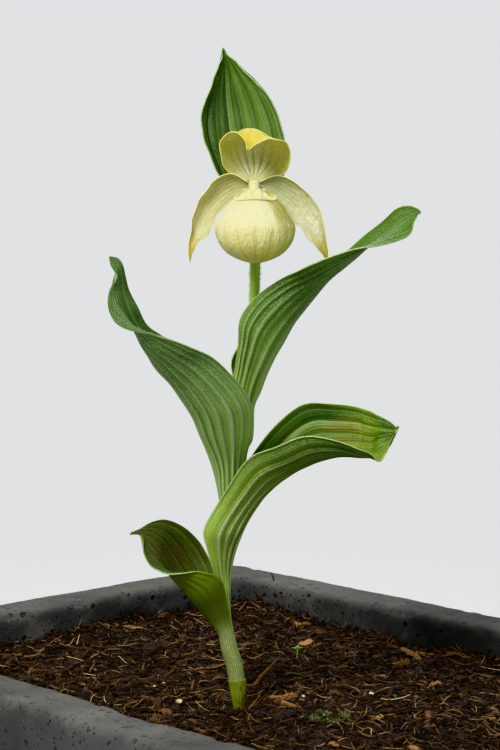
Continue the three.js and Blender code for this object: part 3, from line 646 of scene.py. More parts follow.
# %% Leaf finish
def leaf_finish(name, greens, pale, inside=False, rib_share=0.6, foot=None, streaks=0.0, roughness=0.42,
                dry_tip=0.0, shade=0.0, rust=("4a3a20", "85572e"), rust_at=(-0.2, 1.2), rust_from=0.45,
                frost=0.08, sunny=None, foot_reach=0.55, seed=0.0):
    """greens are the colours at the foot of the blade, along it, and in its shade."""
    f = Finish(name, 0.45)
    low, main, deep = greens
    across, along = f.uv()
    margin, phase, strength = f.attributes("margin", "phase", "strength")
    cloud, fuzz = f.noise(55), f.noise(1600, 2, 0.6)
    speck = fuzz.rise(0.51, 0.62)
    grain = f.drawn_noise(across * 90, along * 7, seed, 3, 0.65)
    bands = f.drawn_noise(across * 9, along * 1.2, seed + 5, 2, 0.5)
    rib, flank, vein = phase.wave(), (phase + 0.9).wave(), (phase * 5 + grain * 2.2).wave()
    near_foot = (along + (bands - 0.5) * 0.35).fall(0.12, foot_reach)
    # How strong the painted shade in the inside's grooves is.
    groove = strength * 0.45 + 0.55
    tone = cloud * 0.6 + grain * 0.6 + bands * 0.6 + fuzz * 0.3
    coats = [(main, tone.rise(0.8, 1.25)), (low, near_foot * 0.85)]
    # The bract: one half is lighter as painted light and the other darker as painted shade, with a pale line
    # between them; its grooves get less painted shade on the lit half.
    if sunny:
        lit = across.rise(0.36, 0.46)
        coats += [(sunny, lit * (bands * 0.6 + 0.1)), (deep, (1 - lit) * (bands * 0.8)),
                  (pale, across.rise(0.4, 0.412) * across.fall(0.412, 0.424) * 0.6)]
        groove = groove * (1 - lit * 0.5)
    coats.append((deep, vein.fall(0.0, 0.25) * 0.38))
    if streaks:
        left, right = rust_at
        where = along.rise(rust_from, rust_from + 0.13) * along.fall(0.72, 0.88) * cloud.rise(0.42, 0.54)
        where = where * across.rise(left, left + 0.15) * across.fall(right - 0.15, right)
        brown = f.drawn_noise(across * 30, along * 6, 4.0, 4, 0.7)
        patch = brown.rise(0.43, 0.58) * where * fuzz.rise(0.3, 0.6, 0.5, 1.0)
        coats.append((f.mix(*rust, fuzz.rise(0.4, 0.6)), patch * streaks))
    # Inside: a painted highlight on one flank of each pleat, painted shade towards the foot as far as shade
    # says, and painted shade in the grooves.
    if inside:
        coats += [(pale, speck * (frost + 0.06)), (pale, flank.rise(0.8, 1.0) * 0.25),
                  (deep, (along + (bands - 0.5) * 0.3).fall(0.3, 0.7) * shade),
                  (deep, (rib + grain * 0.04).rise(0.84, 0.99) * groove)]
    else:
        # Outside: painted shade on the flank beside each rib, and a pale crest that is partly the rib's own
        # colour and partly a painted highlight.
        crest = (rib + near_foot * 0.2).rise(0.88, 0.995) * strength * (speck * 0.4 + 0.6)
        coats += [(deep, flank.rise(0.72, 0.97) * strength * (near_foot * 0.4 + 0.5)),
                  (pale, speck * (vein * 0.14 + frost)),
                  (pale, crest * rib_share * (near_foot * 0.25 + 0.45))]
    if foot:
        tube = (along + (grain - 0.5) * 0.06).fall(0.25, 0.32)
        line = (phase * 2 + grain * 1.5).wave()
        coats += [("44521a", (along + grain * 0.04).rise(0.25, 0.33) * along.fall(0.36, 0.5) * 0.75),
                  (foot, tube),
                  ("5f712a", line.rise(0.5, 0.95) * grain.rise(0.4, 0.58) * tube * 0.8),
                  ("dfe3bf", speck * line.fall(0.2, 0.7) * tube * 0.5)]
    coats.append((pale, margin.fall(0.1, 0.45) * 0.45))
    if dry_tip:
        dry = (along + cloud * 0.06 - margin * 0.03).rise(dry_tip, dry_tip + 0.04)
        coats.append((f.mix("3d291a", "8d6f4c", grain.rise(0.4, 0.6)), dry))
    height = rib * (-0.2 if inside else 0.3) * strength + vein * 0.3 + grain * 0.4 + fuzz * 0.3
    return f.dress(f.coats(deep, coats), 0.16 * grain + roughness, height, 0.0003)


def flecked_finish(name, colour, roughness=0.5):
    """One colour with pale flecks, for thin edges and small things."""
    f = Finish(name, 0.5)
    fleck = f.noise(900, 2)
    return f.dress(f.mix(colour, "dfe6bd", fleck.rise(0.4, 0.7) * 0.4), 0.1 * fleck + roughness)


# %% Finishes of the leaves, inside and outside
# shade is how much painted shade darkens an inside towards its foot, and sunny is the colour of the bract's
# painted light. The bright foot of leaf_2's outside is partly painted light.
LEAF_COLOURS = {
    "leaf_1": (dict(greens=("5d7028", "50622a", "303c18"), pale="8d9c4c", streaks=1.0, dry_tip=0.9,
                    rust=("362917", "5f4a2b")),
               dict(greens=("7d9828", "738f22", "4f6618"), pale="a3b64a", foot="97a368", rib_share=0.3,
                    dry_tip=0.93)),
    "leaf_2": (dict(greens=("4f7322", "86a436", "264a1a"), pale="a9c05c", streaks=0.75, shade=0.75,
                    rust_at=(0.4, 0.97), rust_from=0.32, rust=("54461f", "80592f")),
               dict(greens=("b8da5e", "527022", "2b4614"), pale="e2edc2", rib_share=1.0, frost=0.07,
                    foot_reach=0.66)),
    "leaf_3": (dict(greens=("6a8840", "608045", "335024"), pale="9cb474"),
               dict(greens=("b3d374", "6f914c", "415f32"), pale="c6d8ac", rib_share=0.8, roughness=0.46,
                    frost=0.22)),
    "leaf_4": (dict(greens=("8db24e", "64893a", "375a22"), pale="a3bf72"),
               dict(greens=("a2c860", "567a36", "2a471b"), pale="d3e2ae", rib_share=1.0, frost=0.1)),
    "bract": (dict(greens=("5c7c34", "56792f", "1c3610"), pale="93ae72", sunny="7a9c4a", frost=0.16),
              dict(greens=("6f8f3c", "5c7c32", "304c1c"), pale="9bb877", rib_share=0.5)),
}
LEAF_EDGE = flecked_finish("leaf_margin", "93ab66")
LEAF_LOOKS = {}
for seed, (leaf_name, (within, without)) in enumerate(LEAF_COLOURS.items()):
    LEAF_LOOKS[leaf_name] = (
        leaf_finish(leaf_name + "_inside", inside=True, seed=2.0 * seed, **within),
        leaf_finish(leaf_name + "_outside", seed=2.0 * seed + 1, **without), LEAF_EDGE)
print(len(LEAF_LOOKS), "pairs of leaf faces")

# %% [markdown]
# ## The four leaves and the bract
#
# The pleats are a wave across the blade with narrow crests on the outside and wide valleys,
# as in a folded leaf. A slow noise shifts the wave, so no two pleats are alike, and another
# one makes some strong and some faint. They rise as the blade widens, soften along it and
# vanish at the tip. A wobble runs along both margins.

# %% Leaves
LEAF_WALL, LEAF_RIPPLE = 0.55, 0.35
LEAF_GRID, BRACT_GRID = (112, 80), (112, 72)
PLEATS = {  # how many, how deep in millimetres, and the share of it left at the tip
    "leaf_1": (12, 0.24, 0.6), "leaf_2": (11, 0.6, 0.5), "leaf_3": (13, 0.42, 0.7),
    "leaf_4": (11, 0.6, 0.4), "bract": (7, 0.6, 0.9),
}


def leaf_relief(hand, seed, ribs, depth, fade):
    """How far a leaf's surface is pushed out, and its wave and strength for the finish."""
    def relief(side, share, width, sheath_end, point):
        warp = (2.2 * noise.noise(Vector((side * 1.5, share * 0.9, seed)))
                + 1.4 * noise.noise(Vector((side * 4.5, share * 1.2, seed + 9))))
        phase = ribs * math.pi * side + warp
        strength = 0.48 + 2.1 * noise.noise(Vector((side * 4.1, share * 1.1, seed + 4)))
        strength = min(1.0, max(0.05, strength))
        strength *= blend(1.0, fade, ease(share, sheath_end + 0.05, sheath_end + 0.45))
        swell = ease(share, sheath_end - 0.1, sheath_end + 0.12) * ease(width, 2, 20)
        crest = 0.5 + 0.5 * math.sin(phase + 0.5 * math.cos(phase))
        pleat = -hand * depth * (strength + 0.16) * (2 * crest ** 3 - 0.65) * (swell + 0.08)
        edge = ease(abs(side), 0.72, 1.0) * ease(share, sheath_end, sheath_end + 0.2)
        wobble = math.sin(share * 31 + seed + 2 * side) + 0.4 * math.sin(share * 67 + 3 * side)
        soft = 0.35 * noise.noise(point * 0.11 + Vector((seed, 0, 0))) * ease(share, 0.1, 0.4)
        return pleat + LEAF_RIPPLE * edge * wobble + soft, phase, strength
    return relief


for seed, (leaf_name, shape) in enumerate(LEAVES.items()):
    hand, is_bract = shape["sheath"]["hand"], leaf_name == "bract"
    blade(leaf_name, shape, BRACT_GRID if is_bract else LEAF_GRID,
          leaf_relief(hand, seed * 1.7, *PLEATS[leaf_name]), LEAF_WALL, LEAF_LOOKS[leaf_name],
          "bract_tissue" if is_bract else "leaf_tissue", flip=hand < 0)

# %% [markdown]
# ## The flower's sepals and petals
#
# The upper sepal is a hood whose tip folds over, two petals hang like arms, and the lower
# sepals are joined into one behind the lip. They hang on three rails as the leaves do. They
# have no pleats, only fine raised veins and a wavier margin.

# %% Petals, station by station
PETALS = {
    "dorsal_sepal": {
        "near": [
            (5, -8.4, 239.8), (0.5, -9, 240.8), (-4.5, -11.5, 244), (-7.5, -16, 251), (-8, -18, 256.5),
            (-6, -20, 259.5), (-2.5, -21.5, 261), (0.5, -22.5, 260), (3, -23.5, 257), (4, -24, 253),
        ],
        "keel": [
            (7, -7.3, 240.4), (7, -6, 243.5), (7, -5, 248), (6.5, -5, 253), (6.5, -7, 257.5),
            (6, -10, 260.5), (6, -14, 262.5), (6, -18, 262), (5.5, -22, 259.5), (4.5, -24, 253),
        ],
        "far": [
            (9.2, -8.4, 239.8), (13.5, -9, 240.6), (19.5, -11.5, 242.6), (22.5, -16, 247.5), (23, -18, 253),
            (21, -21, 256.5), (16.5, -24, 257.5), (11.5, -25.5, 257.5), (7.5, -25, 255.5),
            (4.5, -24, 253),
        ],
    },
    "petal_left": {
        "near": [
            (4.8, -10, 236.5), (1, -12, 234), (-5.5, -14, 228.5), (-9.5, -15, 224.5),
            (-12, -15.5, 219), (-13.5, -15.5, 216), (-17.5, -14.5, 213), (-20.5, -13, 208),
            (-21.5, -12, 204),
        ],
        "keel": [
            (4.7, -9, 238), (-1, -8, 238), (-8, -9, 234), (-13, -10, 229), (-16, -11, 224),
            (-18, -12, 219), (-20, -12.5, 214.5), (-21, -12.5, 208.5), (-21.5, -12, 204),
        ],
        "far": [
            (4.8, -10, 239), (-3, -11, 243), (-11, -13, 240), (-15.5, -14, 234), (-18.5, -14.5, 228),
            (-20.5, -14.5, 222), (-21.5, -13.5, 215.5), (-22, -12.5, 209), (-21.5, -12, 204),
        ],
    },
    "petal_right": {
        "near": [
            (9.2, -10, 236.3), (13, -11, 233.5), (18.5, -12, 228.5), (24, -13, 222), (27.5, -14, 219.5),
            (30.5, -15, 215), (34, -14.5, 210.8), (37.7, -13, 206.8), (40, -12, 203.3),
        ],
        "keel": [
            (9.3, -9, 238), (15.5, -8, 237.5), (22.5, -8.5, 233), (28, -10, 228.5), (31.5, -11, 223),
            (34.5, -12, 218), (36.5, -12.5, 213), (38.7, -12.5, 208), (40, -12, 203.3),
        ],
        "far": [
            (9.2, -10, 239.3), (16, -11, 242), (24, -13, 240), (30.5, -14, 235), (34.5, -14.5, 229.5),
            (37, -14.5, 223.5), (38.5, -13.5, 217), (39.5, -12.5, 210), (40, -12, 203.3),
        ],
    },
    "synsepal": {
        "near": [
            (5.7, -8.3, 235.9), (1, -7.6, 230.5), (-1.5, -6.6, 225), (-2, -6, 219.5), (1, -5.8, 214),
            (6.6, -6, 209.5),
        ],
        "keel": [
            (7, -8.1, 235.9), (7, -6.4, 230), (7, -5.2, 224.5), (7, -4.8, 219), (7, -5.2, 213.5),
            (7, -6, 209),
        ],
        "far": [
            (8.3, -8.3, 235.9), (13, -7.6, 230.5), (15.5, -6.6, 225), (16, -6, 219.5), (13, -5.8, 214),
            (7.4, -6, 209.5),
        ],
    },
}
print(len(PETALS), "petals measured")

# %% [markdown]
# ## Petal colours
#
# A petal is thin enough for light to come through, so its finish lets some light scatter
# inside. The ground is cream that turns yellow towards the margins and the tip, under fine
# green veins that spread from the base. On the hood two olive patches fill the lobes and
# pale stripes run up from the middle.

# %% Petal finish
PETAL_GLOW = (0.35, 0.0015, (1.0, 0.8, 0.3))


def petal_finish(name, ground, shade, yellow, vein_colour="a3a95c", vein_share=0.4, lobes=None,
                 fleck=False, shade_share=0.6, base=None, net_share=0.4, seed=0.0):
    """lobes and base are the colours of the hood's lobes and of a petal's foot."""
    f = Finish(name, 0.4, PETAL_GLOW)
    across, along = f.uv()
    margin, = f.attributes("margin")
    cloud, fine = f.noise(150, 4, 0.6), f.noise(1100, 3, 0.65)
    grain = f.drawn_noise(across * 60, along * 9, seed, 3, 0.65)
    wash = f.drawn_noise(across * 5, along * 2.2, seed + 3, 2, 0.5)
    vein = across.stripes(26, grain * 3.5 + cloud * 2.5) ** 3.0
    net = (f.drawn_noise(across * 30, along * 18, seed + 8, 3, 0.6) - 0.5).size().fall(0.0, 0.035)
    coats = [(shade, (cloud * 0.5 + grain * 0.35 + wash * 0.7).rise(0.62, 0.95) * shade_share)]
    if lobes:
        inward = (across - 0.5).size() * 2
        ray = across.stripes(10, cloud * 1.2 + 1.2)
        low = along.fall(0.12, 0.46) * inward.fall(0.2, 0.8)
        coats += [(lobes, along.rise(0.12, 0.34) * inward.rise(0.02, 0.35) * (wash * 0.4 + 0.5)),
                  ("eeedcc", low * ray.fall(0.3, 0.85) * 0.75),
                  ("6d802c", low * ray.rise(0.84, 0.99) * 0.75)]
    if base:
        foot = (along + (wash - 0.5) * 0.3).fall(0.12, 0.6)
        line = across.stripes(9, grain * 4 + wash * 7)
        coats += [(base, foot * (line.fall(0.1, 0.9) * 0.25 + grain * 0.5 + 0.2)),
                  ("efefd6", foot * (line.rise(0.75, 0.98) * grain.rise(0.4, 0.6) * 0.5 + net * 0.45))]
    coats += [(vein_colour, vein * (grain * 0.9 + 0.2) * vein_share), (vein_colour, net * net_share),
              ("efecd0", fine.rise(0.54, 0.68) * 0.22), (yellow, (margin + cloud * 0.9).fall(0.3, 1.3) * 0.3),
              (yellow, (along + (wash - 0.5) * 0.35).rise(0.6, 0.95) * 0.9)]
    if fleck:
        dots = f.cells(1.0, f.point(across * 9, along * 16))
        coats.append(("4b4a22", dots.fall(0.05, 0.11) * along.fall(0.2, 0.45) * 0.8))
    height = vein * vein_share * 1.2 + net * 0.5 + fine * 0.7 + cloud * 0.7
    return f.dress(f.coats(ground, coats), 0.16 * grain + 0.4, height, 0.00025)


PETAL_EDGE = flecked_finish("petal_margin", "f0eba6", 0.45)
HOOD_EDGE = flecked_finish("hood_margin", "ecdf72", 0.45)
PETAL_COLOURS = {
    "dorsal_sepal": ("hood", HOOD_EDGE, dict(
        ground="dcdca2", shade="c0c068", yellow="dccb3e", lobes="c8c76c", vein_share=0.06, net_share=0.1,
    ), dict(ground="efe08a", shade="e0cc58", yellow="ecd650", vein_colour="c8a83c")),
    "petal_left": ("left_petal", PETAL_EDGE, dict(
        ground="efeabc", shade="bcb65a", yellow="ecd43c", fleck=True, shade_share=0.5, base="8d9044",
        vein_share=0.5, net_share=0.6,
    ), dict(ground="dad9a6", shade="bcbb66", yellow="dccd58", vein_share=0.5)),
    "petal_right": ("right_petal", PETAL_EDGE, dict(
        ground="f2f1d6", shade="d8d8a4", yellow="e4c934", vein_share=0.45, base="a9b06c", net_share=0.6,
    ), dict(ground="dbdcae", shade="c2c47e", yellow="dccd58", vein_share=0.5)),
    "synsepal": ("lower_sepal", PETAL_EDGE, dict(
        ground="d9dba6", shade="b3b866", yellow="d6c65a",
    ), dict(ground="cbd08c", shade="a3ac54", yellow="d2c55a", vein_share=0.6)),
}

# %% Sepals and petals
PETAL_WALL, PETAL_GRID, PETAL_VEINS = 0.36, (64, 70), 13


def petal_relief(seed, ripple):
    """Fine veins and a wavy margin, as leaf_relief gives pleats."""
    def relief(side, share, width, sheath_end, point):
        phase = PETAL_VEINS * math.pi * side
        vein = 0.015 * math.cos(phase) * ease(width, 3, 12)
        edge = ease(abs(side), 0.6, 1.0) * ease(share, 0.08, 0.3) * (1 - ease(share, 0.85, 1.0))
        wobble = ripple * edge * (math.sin(share * 15 + seed) + 0.35 * math.sin(share * 37 + 2 * seed + side))
        soft = (0.4 * noise.noise(point * 0.14 + Vector((seed, 3, 0)))
                + 0.14 * noise.noise(point * 0.5 + Vector((seed, 3, 0)))) * ease(share, 0.02, 0.2)
        return vein + wobble + soft, phase, 1.0
    return relief


def folded_hood(side, share):
    """Lowers the hood beside its middle fold, so that the fold stands up as a ridge."""
    beside = math.exp(-((abs(side) - 0.6) / 0.26) ** 2) * math.exp(-((share - 0.66) / 0.13) ** 2)
    return Vector((0, 0, -(1.5 if side < 0 else 1.9) * beside))


for seed, (petal_name, shape) in enumerate(PETALS.items()):
    look_name, edge_look, within, without = PETAL_COLOURS[petal_name]
    looks = (petal_finish(look_name + "_inside", seed=2.0 * seed, **within),
             petal_finish(look_name + "_outside", seed=2.0 * seed + 1, **without), edge_look)
    relief = petal_relief(seed * 2.3 + 1, 0.1 if petal_name == "synsepal" else 0.25)
    blade(petal_name, shape, PETAL_GRID, relief, PETAL_WALL, looks, "petal_tissue",
          flip=petal_name in ("petal_right", "synsepal"),
          nudge=folded_hood if petal_name == "dorsal_sepal" else None)

# %% [markdown]
# ## The inflated lip
#
# The lip is a thin shell like a little purse, with its mouth turned in at the top. A
# potter would throw it: one profile runs up the outside, over the rim and down the inside,
# and `spin` turns it full circle. Then every vertex is moved, because a real lip is wider
# than deep, its mouth is longer front to back and stands higher at the back, and its wall
# is gathered by soft vertical folds.

# %% The lip's profile
LIP = {
    "centre": Vector((7.5, -23, 219.2)), "half_width": 17.4, "half_depth": 15.5, "above": 13.7,
    "below": 15.2, "mouth_angle": 148, "mouth_depth": 3.5, "mouth_shift": 2.1, "back_rise": 4.2,
    "wall": 0.05, "shoulder": 0.4, "rim_top": 0.885,
}
LIP_RIM = [  # (radius, height) where the half width and the height above the middle are 1
    (0.530, 0.850), (0.515, 0.860), (0.512, 0.872), (0.524, 0.882), (0.536, 0.892), (0.534, 0.906),
    (0.520, 0.915), (0.504, 0.912), (0.492, 0.900), (0.478, 0.878), (0.462, 0.84), (0.448, 0.79),
    (0.438, 0.72), (0.436, 0.66), (0.446, 0.63), (0.47, 0.615),
]


def lip_wall(scale, rings, end):
    """A profile from the bottom pole up to an angle, as (radius, height) pairs."""
    angles = [math.radians(end) * i / rings for i in range(rings + 1)]
    return [(scale * math.sin(a), -scale * math.cos(a)) for a in angles]


def spun(profile, steps):
    """A profile of (radius, height) pairs turned full circle about the upright axis."""
    bm = bmesh.new()
    verts = [bm.verts.new((radius, 0, height)) for radius, height in profile]
    edges = [bm.edges.new(pair) for pair in zip(verts, verts[1:])]
    bmesh.ops.spin(bm, geom=[*verts, *edges], cent=(0, 0, 0), axis=(0, 0, 1), dvec=(0, 0, 0),
                   angle=FULL_TURN, steps=steps, use_merge=True, use_duplicate=False)
    return close_seams(bm, 1e-5)


LIP_PROFILE = [
    *lip_wall(1, 70, LIP["mouth_angle"] - 1), *LIP_RIM,
    *reversed(lip_wall(1 - LIP["wall"], 22, LIP["mouth_angle"] - 5)),
]
LIP_STEPS = 200
print(len(LIP_PROFILE), "points from the lip's pole over its rim and back")


# %% Lip finish
LIP_GLOW = (0.3, 0.0015, (1.0, 0.8, 0.3))


def lip_finish(name, top, side, bottom):
    f = Finish(name, 0.45, LIP_GLOW)
    heading, height, groove = f.attributes("heading", "height", "groove")
    cloud, fine = f.noise(110, 4), f.noise(1100, 3, 0.65)
    hammer = f.drawn_noise(heading * 15, height * 8, 3.0, 2, 0.5, 0.3)
    runs = f.drawn_noise(heading * 5.5, height * 0.8, 2.0, 3, 0.6)
    threads = f.drawn_noise(heading * 24, height * 3.2, 7.0, 3, 0.65, 0.5)
    # The right shoulder, where olive painted shade goes.
    shoulder = (heading + (runs - 0.5) * 0.3).rise(0.42, 0.75) * height.rise(-0.35, 0.4)
    colour = f.coats(side, [
        (top, (height + cloud * 0.5).rise(-0.2, 0.8)),
        # The lip's own yellow below, reaching higher on the right as painted shade.
        (bottom, (height + runs * 0.7 - heading * 0.15).fall(-0.75, 0.35) * 0.85),
        # Olive painted shade on the right shoulder and along the far right edge.
        ("a39c38", shoulder * 0.75),
        ("aaa33a", (heading + (runs - 0.5) * 0.5).rise(0.7, 1.4) * 0.65),
        # Painted shade in the creases between the folds.
        ("a8a03c", groove.rise(0.84, 1.0) * height.fall(-0.3, 0.5) * runs * 0.65),
        ("c8c46c", threads.rise(0.54, 0.7) * 0.35),
        ("f2f0d8", threads.fall(0.34, 0.46) * 0.4),
        ("cfcb80", hammer.fall(0.38, 0.48) * 0.3),
        # A painted shadow in the groove under the rim, and a painted highlight along the rim's top.
        ("b4ac4c", height.rise(0.845, 0.86) * height.fall(0.868, 0.885) * 0.7),
        ("f1edc4", height.rise(0.88, 0.89) * 0.85)])
    relief = hammer * 0.95 + threads * 0.45 + fine * 0.3 + cloud * 0.5
    return f.dress(colour, fine * 0.16 + 0.33, relief, 0.0007)


LIP_LOOK = lip_finish("lip_outside", "e6e3b6", "dedb94", "d1cd54")


# %% The lip
def lip_size(point, body, fold):
    """How much wider or narrower the lip is at a point of its round profile."""
    x, y, z = point
    slope = (1 - 0.085 * math.sin(math.pi * ease(z, 0, 1)) * (1 - ease(z, 0.8, 0.86))
             - 0.09 * ease(-z, 0.72, 1.0))
    folds = 0.009 * math.cos(fold) * ease(body, 0.1, 0.5) * (1 - 0.5 * ease(z, 0.5, 0.85))
    creases = (0.009 * noise.noise(Vector((x * 9, y * 9, z * 2.2 + 4)))
               + 0.004 * noise.noise(Vector((x * 14, y * 14, z * 9))))
    dents = (0.014 * noise.noise(Vector((x * 2.4, y * 2.4, z * 2.4 + 8)))
             + 0.005 * noise.noise(Vector((x, y, z)) * 11))
    return slope * (1 + folds + creases + dents)


def lip_place(point, heading, size):
    """The place of a point of the round profile on the wide, deep lip with its raised back."""
    x, y, z = point
    top, back = ease(z, LIP["shoulder"], LIP["rim_top"]), ((1 + math.sin(heading)) / 2) ** 2
    return LIP["centre"] + Vector((
        x * LIP["half_width"] * size,
        y * (LIP["half_depth"] + LIP["mouth_depth"] * top) * size + LIP["mouth_shift"] * top,
        z * (LIP["above"] if z > 0 else LIP["below"]) + LIP["back_rise"] * top * back))


bm = spun(LIP_PROFILE, LIP_STEPS)
heading_layer, height_layer, groove_layer = layers(bm, "heading", "height", "groove")
for vert in bm.verts:
    x, y, z = vert.co
    body, heading = math.hypot(x, y), math.atan2(y, x)
    fold = 14 * heading + 1.1 * noise.noise(Vector((x, y, 0.6 * z)) * 2)
    vert[height_layer], vert[groove_layer] = z, 0.5 - 0.5 * math.cos(fold)
    vert[heading_layer] = math.asin(max(-1, min(1, x / max(1e-6, body))))
    vert.co = lip_place((x, y, z), heading, lip_size((x, y, z), body, fold))
    front, around = ease(-math.sin(heading), -0.1, 0.6), (math.cos(heading), math.sin(heading))
    vert.co.z += ease(z, 0.83, 0.9) * (
        0.9 * front * math.cos(2 * (heading + math.pi / 2)) + 0.35 * noise.noise(Vector((*around, 5)) * 2.2)
        + 0.15 * noise.noise(Vector((*around, 9)) * 7))
keep("lip", bm, [LIP_LOOK], "pouch_tissue", "pouch")

# %% [markdown]
# ## Collar and column
#
# Behind the lip's front rim its sides fold up into a lumpy cream collar, and the column
# sits on top: a short thick finger that points forward over the mouth, with a cap at its
# tip and swellings under it. The collar is a grid bent over the back half of the mouth, and
# lumps are raised on it one by one. The column is a stalk swept along a short curve.


# %% A stalk along a curve
def stalk(line, radius_at, around, along, start=0.0, end=1.0):
    """A tube with rounded ends along a rail, with radius_at(share, angle) for its skin."""
    bm = skin(around, along)
    for vert, side, share in places(bm):
        angle, place = side * math.pi, blend(start, end, share)
        way = line.heading(place)
        out = sideways(way)
        spoke = out * math.cos(angle) + way.cross(out) * math.sin(angle)
        vert.co = line.at(place) + spoke * radius_at(share, angle)
    return close_seams(bm, 1e-4)


def dome(share, low, high):
    """1 along a stalk, falling round to 0 before low and after high."""
    start, end = max(0.0, 1 - share / low), max(0.0, (share - high) / (1 - high))
    return math.sqrt(max(0.0, 1 - max(start, end) ** 2))


# %% Column finish
CREAM_GLOW = (0.3, 0.0015, (1.0, 0.85, 0.4))


def cream_finish(name, light, deep, crest=None):
    """Cream tissue; on the collar a vertex's crest says whether it is on a lump or between, and painted shade
    darkens the hollows between the lumps.
    """
    f = Finish(name, 0.5, CREAM_GLOW)
    warm, bead = f.noise(260), f.noise(1500, 2)
    share = warm.rise(0.46, 0.66) * 0.6
    # On the collar, painted shade fills the hollows between the lumps.
    if crest:
        share = (f.attributes(crest)[0] + (warm - 0.5) * 0.5).fall(0.05, 0.6) * 0.7
    return f.dress(f.mix(light, deep, share), bead * 0.1 + 0.34, bead * 0.5 + warm, 0.0003)


COLUMN_LOOK = cream_finish("column_cream", "d3d5a4", "bcb862")
COLLAR_LOOK = cream_finish("collar_cream", "e3dfae", "aea644", "crest")

# %% The column, its cap and the swellings under it
COLUMN_LINE = Rail([
    (7, -8.7, 238), (7, -10.8, 238.2), (7, -13.2, 238.2), (7, -15.0, 237.9), (7, -16.6, 237.4),
])
COLUMN_RADIUS = [(0, 1.8), (0.25, 1.85), (0.5, 2.2), (0.72, 2.5), (0.9, 2.5), (1, 2.2)]
CAP_LINE = Rail([
    (7.05, -15.6, 240.5), (7.05, -15.9, 238.5), (7.05, -16.4, 236.5), (7.05, -16.9, 234.6),
])
SWELLINGS = [
    ((5.0, -17.3, 235.2), 1.5), ((9.2, -17.3, 235.2), 1.6), ((7.1, -17.8, 234.4), 1.15),
    ((3.3, -15.2, 235.3), 1.35), ((11.0, -15.2, 235.4), 1.35),
]


def column_radius(share, angle):
    uneven = 1 + 0.03 * math.sin(3 * angle + 5 * share)
    return between(COLUMN_RADIUS, share) * dome(share, 0.05, 0.8) * uneven


def cap_radius(share, angle):
    return (2.4 - 0.12 * share + 0.06 * math.cos(2 * angle)) * dome(share, 0.26, 0.86)


bm = stalk(COLUMN_LINE, column_radius, 32, 40)
pour(stalk(CAP_LINE, cap_radius, 40, 36), bm)
for place, size in SWELLINGS:
    for vert in ball(bm, 4):
        x, y, z = vert.co
        push = 1 + 0.25 * noise.noise(vert.co * 1.7 + Vector(place))
        vert.co = Vector((x * size, y * size * 1.15, z * size * 0.85)) * push + Vector(place)
keep("column", bm, [COLUMN_LOOK], "column_tissue", "column")

# %% The collar
COLLAR_WALL = 0.6
RIM_RADIUS, RIM_HEIGHT = 0.505, 0.9  # the middle of the rim's top, on the lip's round profile
LUMPS = [  # side, share of the way up, width and height
    (-0.9, 0.32, 0.14, 0.9), (-0.62, 0.27, 0.15, 1.2), (-0.27, 0.25, 0.17, 1.4), (0.22, 0.25, 0.2, 1.9),
    (0.58, 0.3, 0.12, 1.1), (0.78, 0.27, 0.1, 0.9), (0.95, 0.33, 0.1, 0.8), (-0.1, 0.45, 0.12, 0.6),
]


def mouth_rim(heading):
    """A point on the top of the lip's rim at a heading in radians, 90 degrees being the back."""
    point = (RIM_RADIUS * math.cos(heading), RIM_RADIUS * math.sin(heading), RIM_HEIGHT)
    return lip_place(point, heading, 1)


bm = skin(110, 48)
crest_layer, = layers(bm, "crest")
for vert, side, up in places(bm):
    out = abs(side)
    low = Vector((7.4 + 8.7 * side, -27.0 + 5.6 * side * side, 229.6 + 1.6 * side * side))
    crest = Vector((7.2 + 8.9 * side, -21.0 + 6.0 * (1 - out ** 1.6),
                    231.8 + 4.4 * (1 - ease(out, 0.25, 1.0))))
    rear = mouth_rim(math.radians(90 - 88 * side))
    vert.co = (low * (2 * up - 1) * (up - 1) + crest * 4 * up * (1 - up) + rear * up * (2 * up - 1))
    raised = sum(high * math.exp(-((side - at) / wide) ** 2 - ((up - height) / 0.15) ** 2)
                 for at, height, wide, high in LUMPS)
    small = 0.25 * noise.noise(Vector((side * 9, up * 6, 4)))
    fade = ease(up, 0.0, 0.12) * (1 - ease(up, 0.8, 1.0))
    vert.co += Vector((0.25 * side, -0.8, 0.55)) * (raised + small) * fade
    # How high a vertex stands on the lumps; the collar's finish paints shade where this is low.
    vert[crest_layer] = raised * 0.7 + small
thicken(keep("lip_collar", bm, [COLLAR_LOOK], "pouch_tissue"), COLLAR_WALL)

# %% [markdown]
# ## Stem, ovary and their hairs
#
# The stem is one tube along its bending line, thicker where the lowest leaf wraps it. The
# ovary behind the flower looks like more stem, but it is ribbed and curves over to carry
# the flower. Both are covered in short hairs, which are modelled, as tiny cones, because
# they catch the light along the outline.


# %% Green stalk finish
STALK_GLOW = (0.15, 0.001, (0.6, 1.0, 0.2))


def stalk_finish(name, light, dark, foot, foot_height):
    """Green with fine hair; foot is its colour below a height in metres."""
    f = Finish(name, 0.4, STALK_GLOW)
    across, along = f.uv()
    cloud, fuzz = f.noise(120), f.noise(1300, 2, 0.6)
    grain = f.drawn_noise(across * 40, along * 30, 0.0)
    rib = across.stripes(14, grain * 2)
    colour = f.coats(dark, [
        (light, (rib * 0.4 + cloud * 0.7 + fuzz * 0.2).rise(0.35, 0.95)),
        ("dfeab0", fuzz.rise(0.52, 0.64) * 0.4),
        (foot, (f.up() + cloud * 0.01).fall(*foot_height) * 0.85)])
    return f.dress(colour, grain * 0.12 + 0.42, rib * 0.5 + grain * 0.5 + fuzz * 0.8, 0.00018)


STEM_LOOK = stalk_finish("stem_green", "b0d460", "80b040", "cfdcb4", (0.135, 0.175))

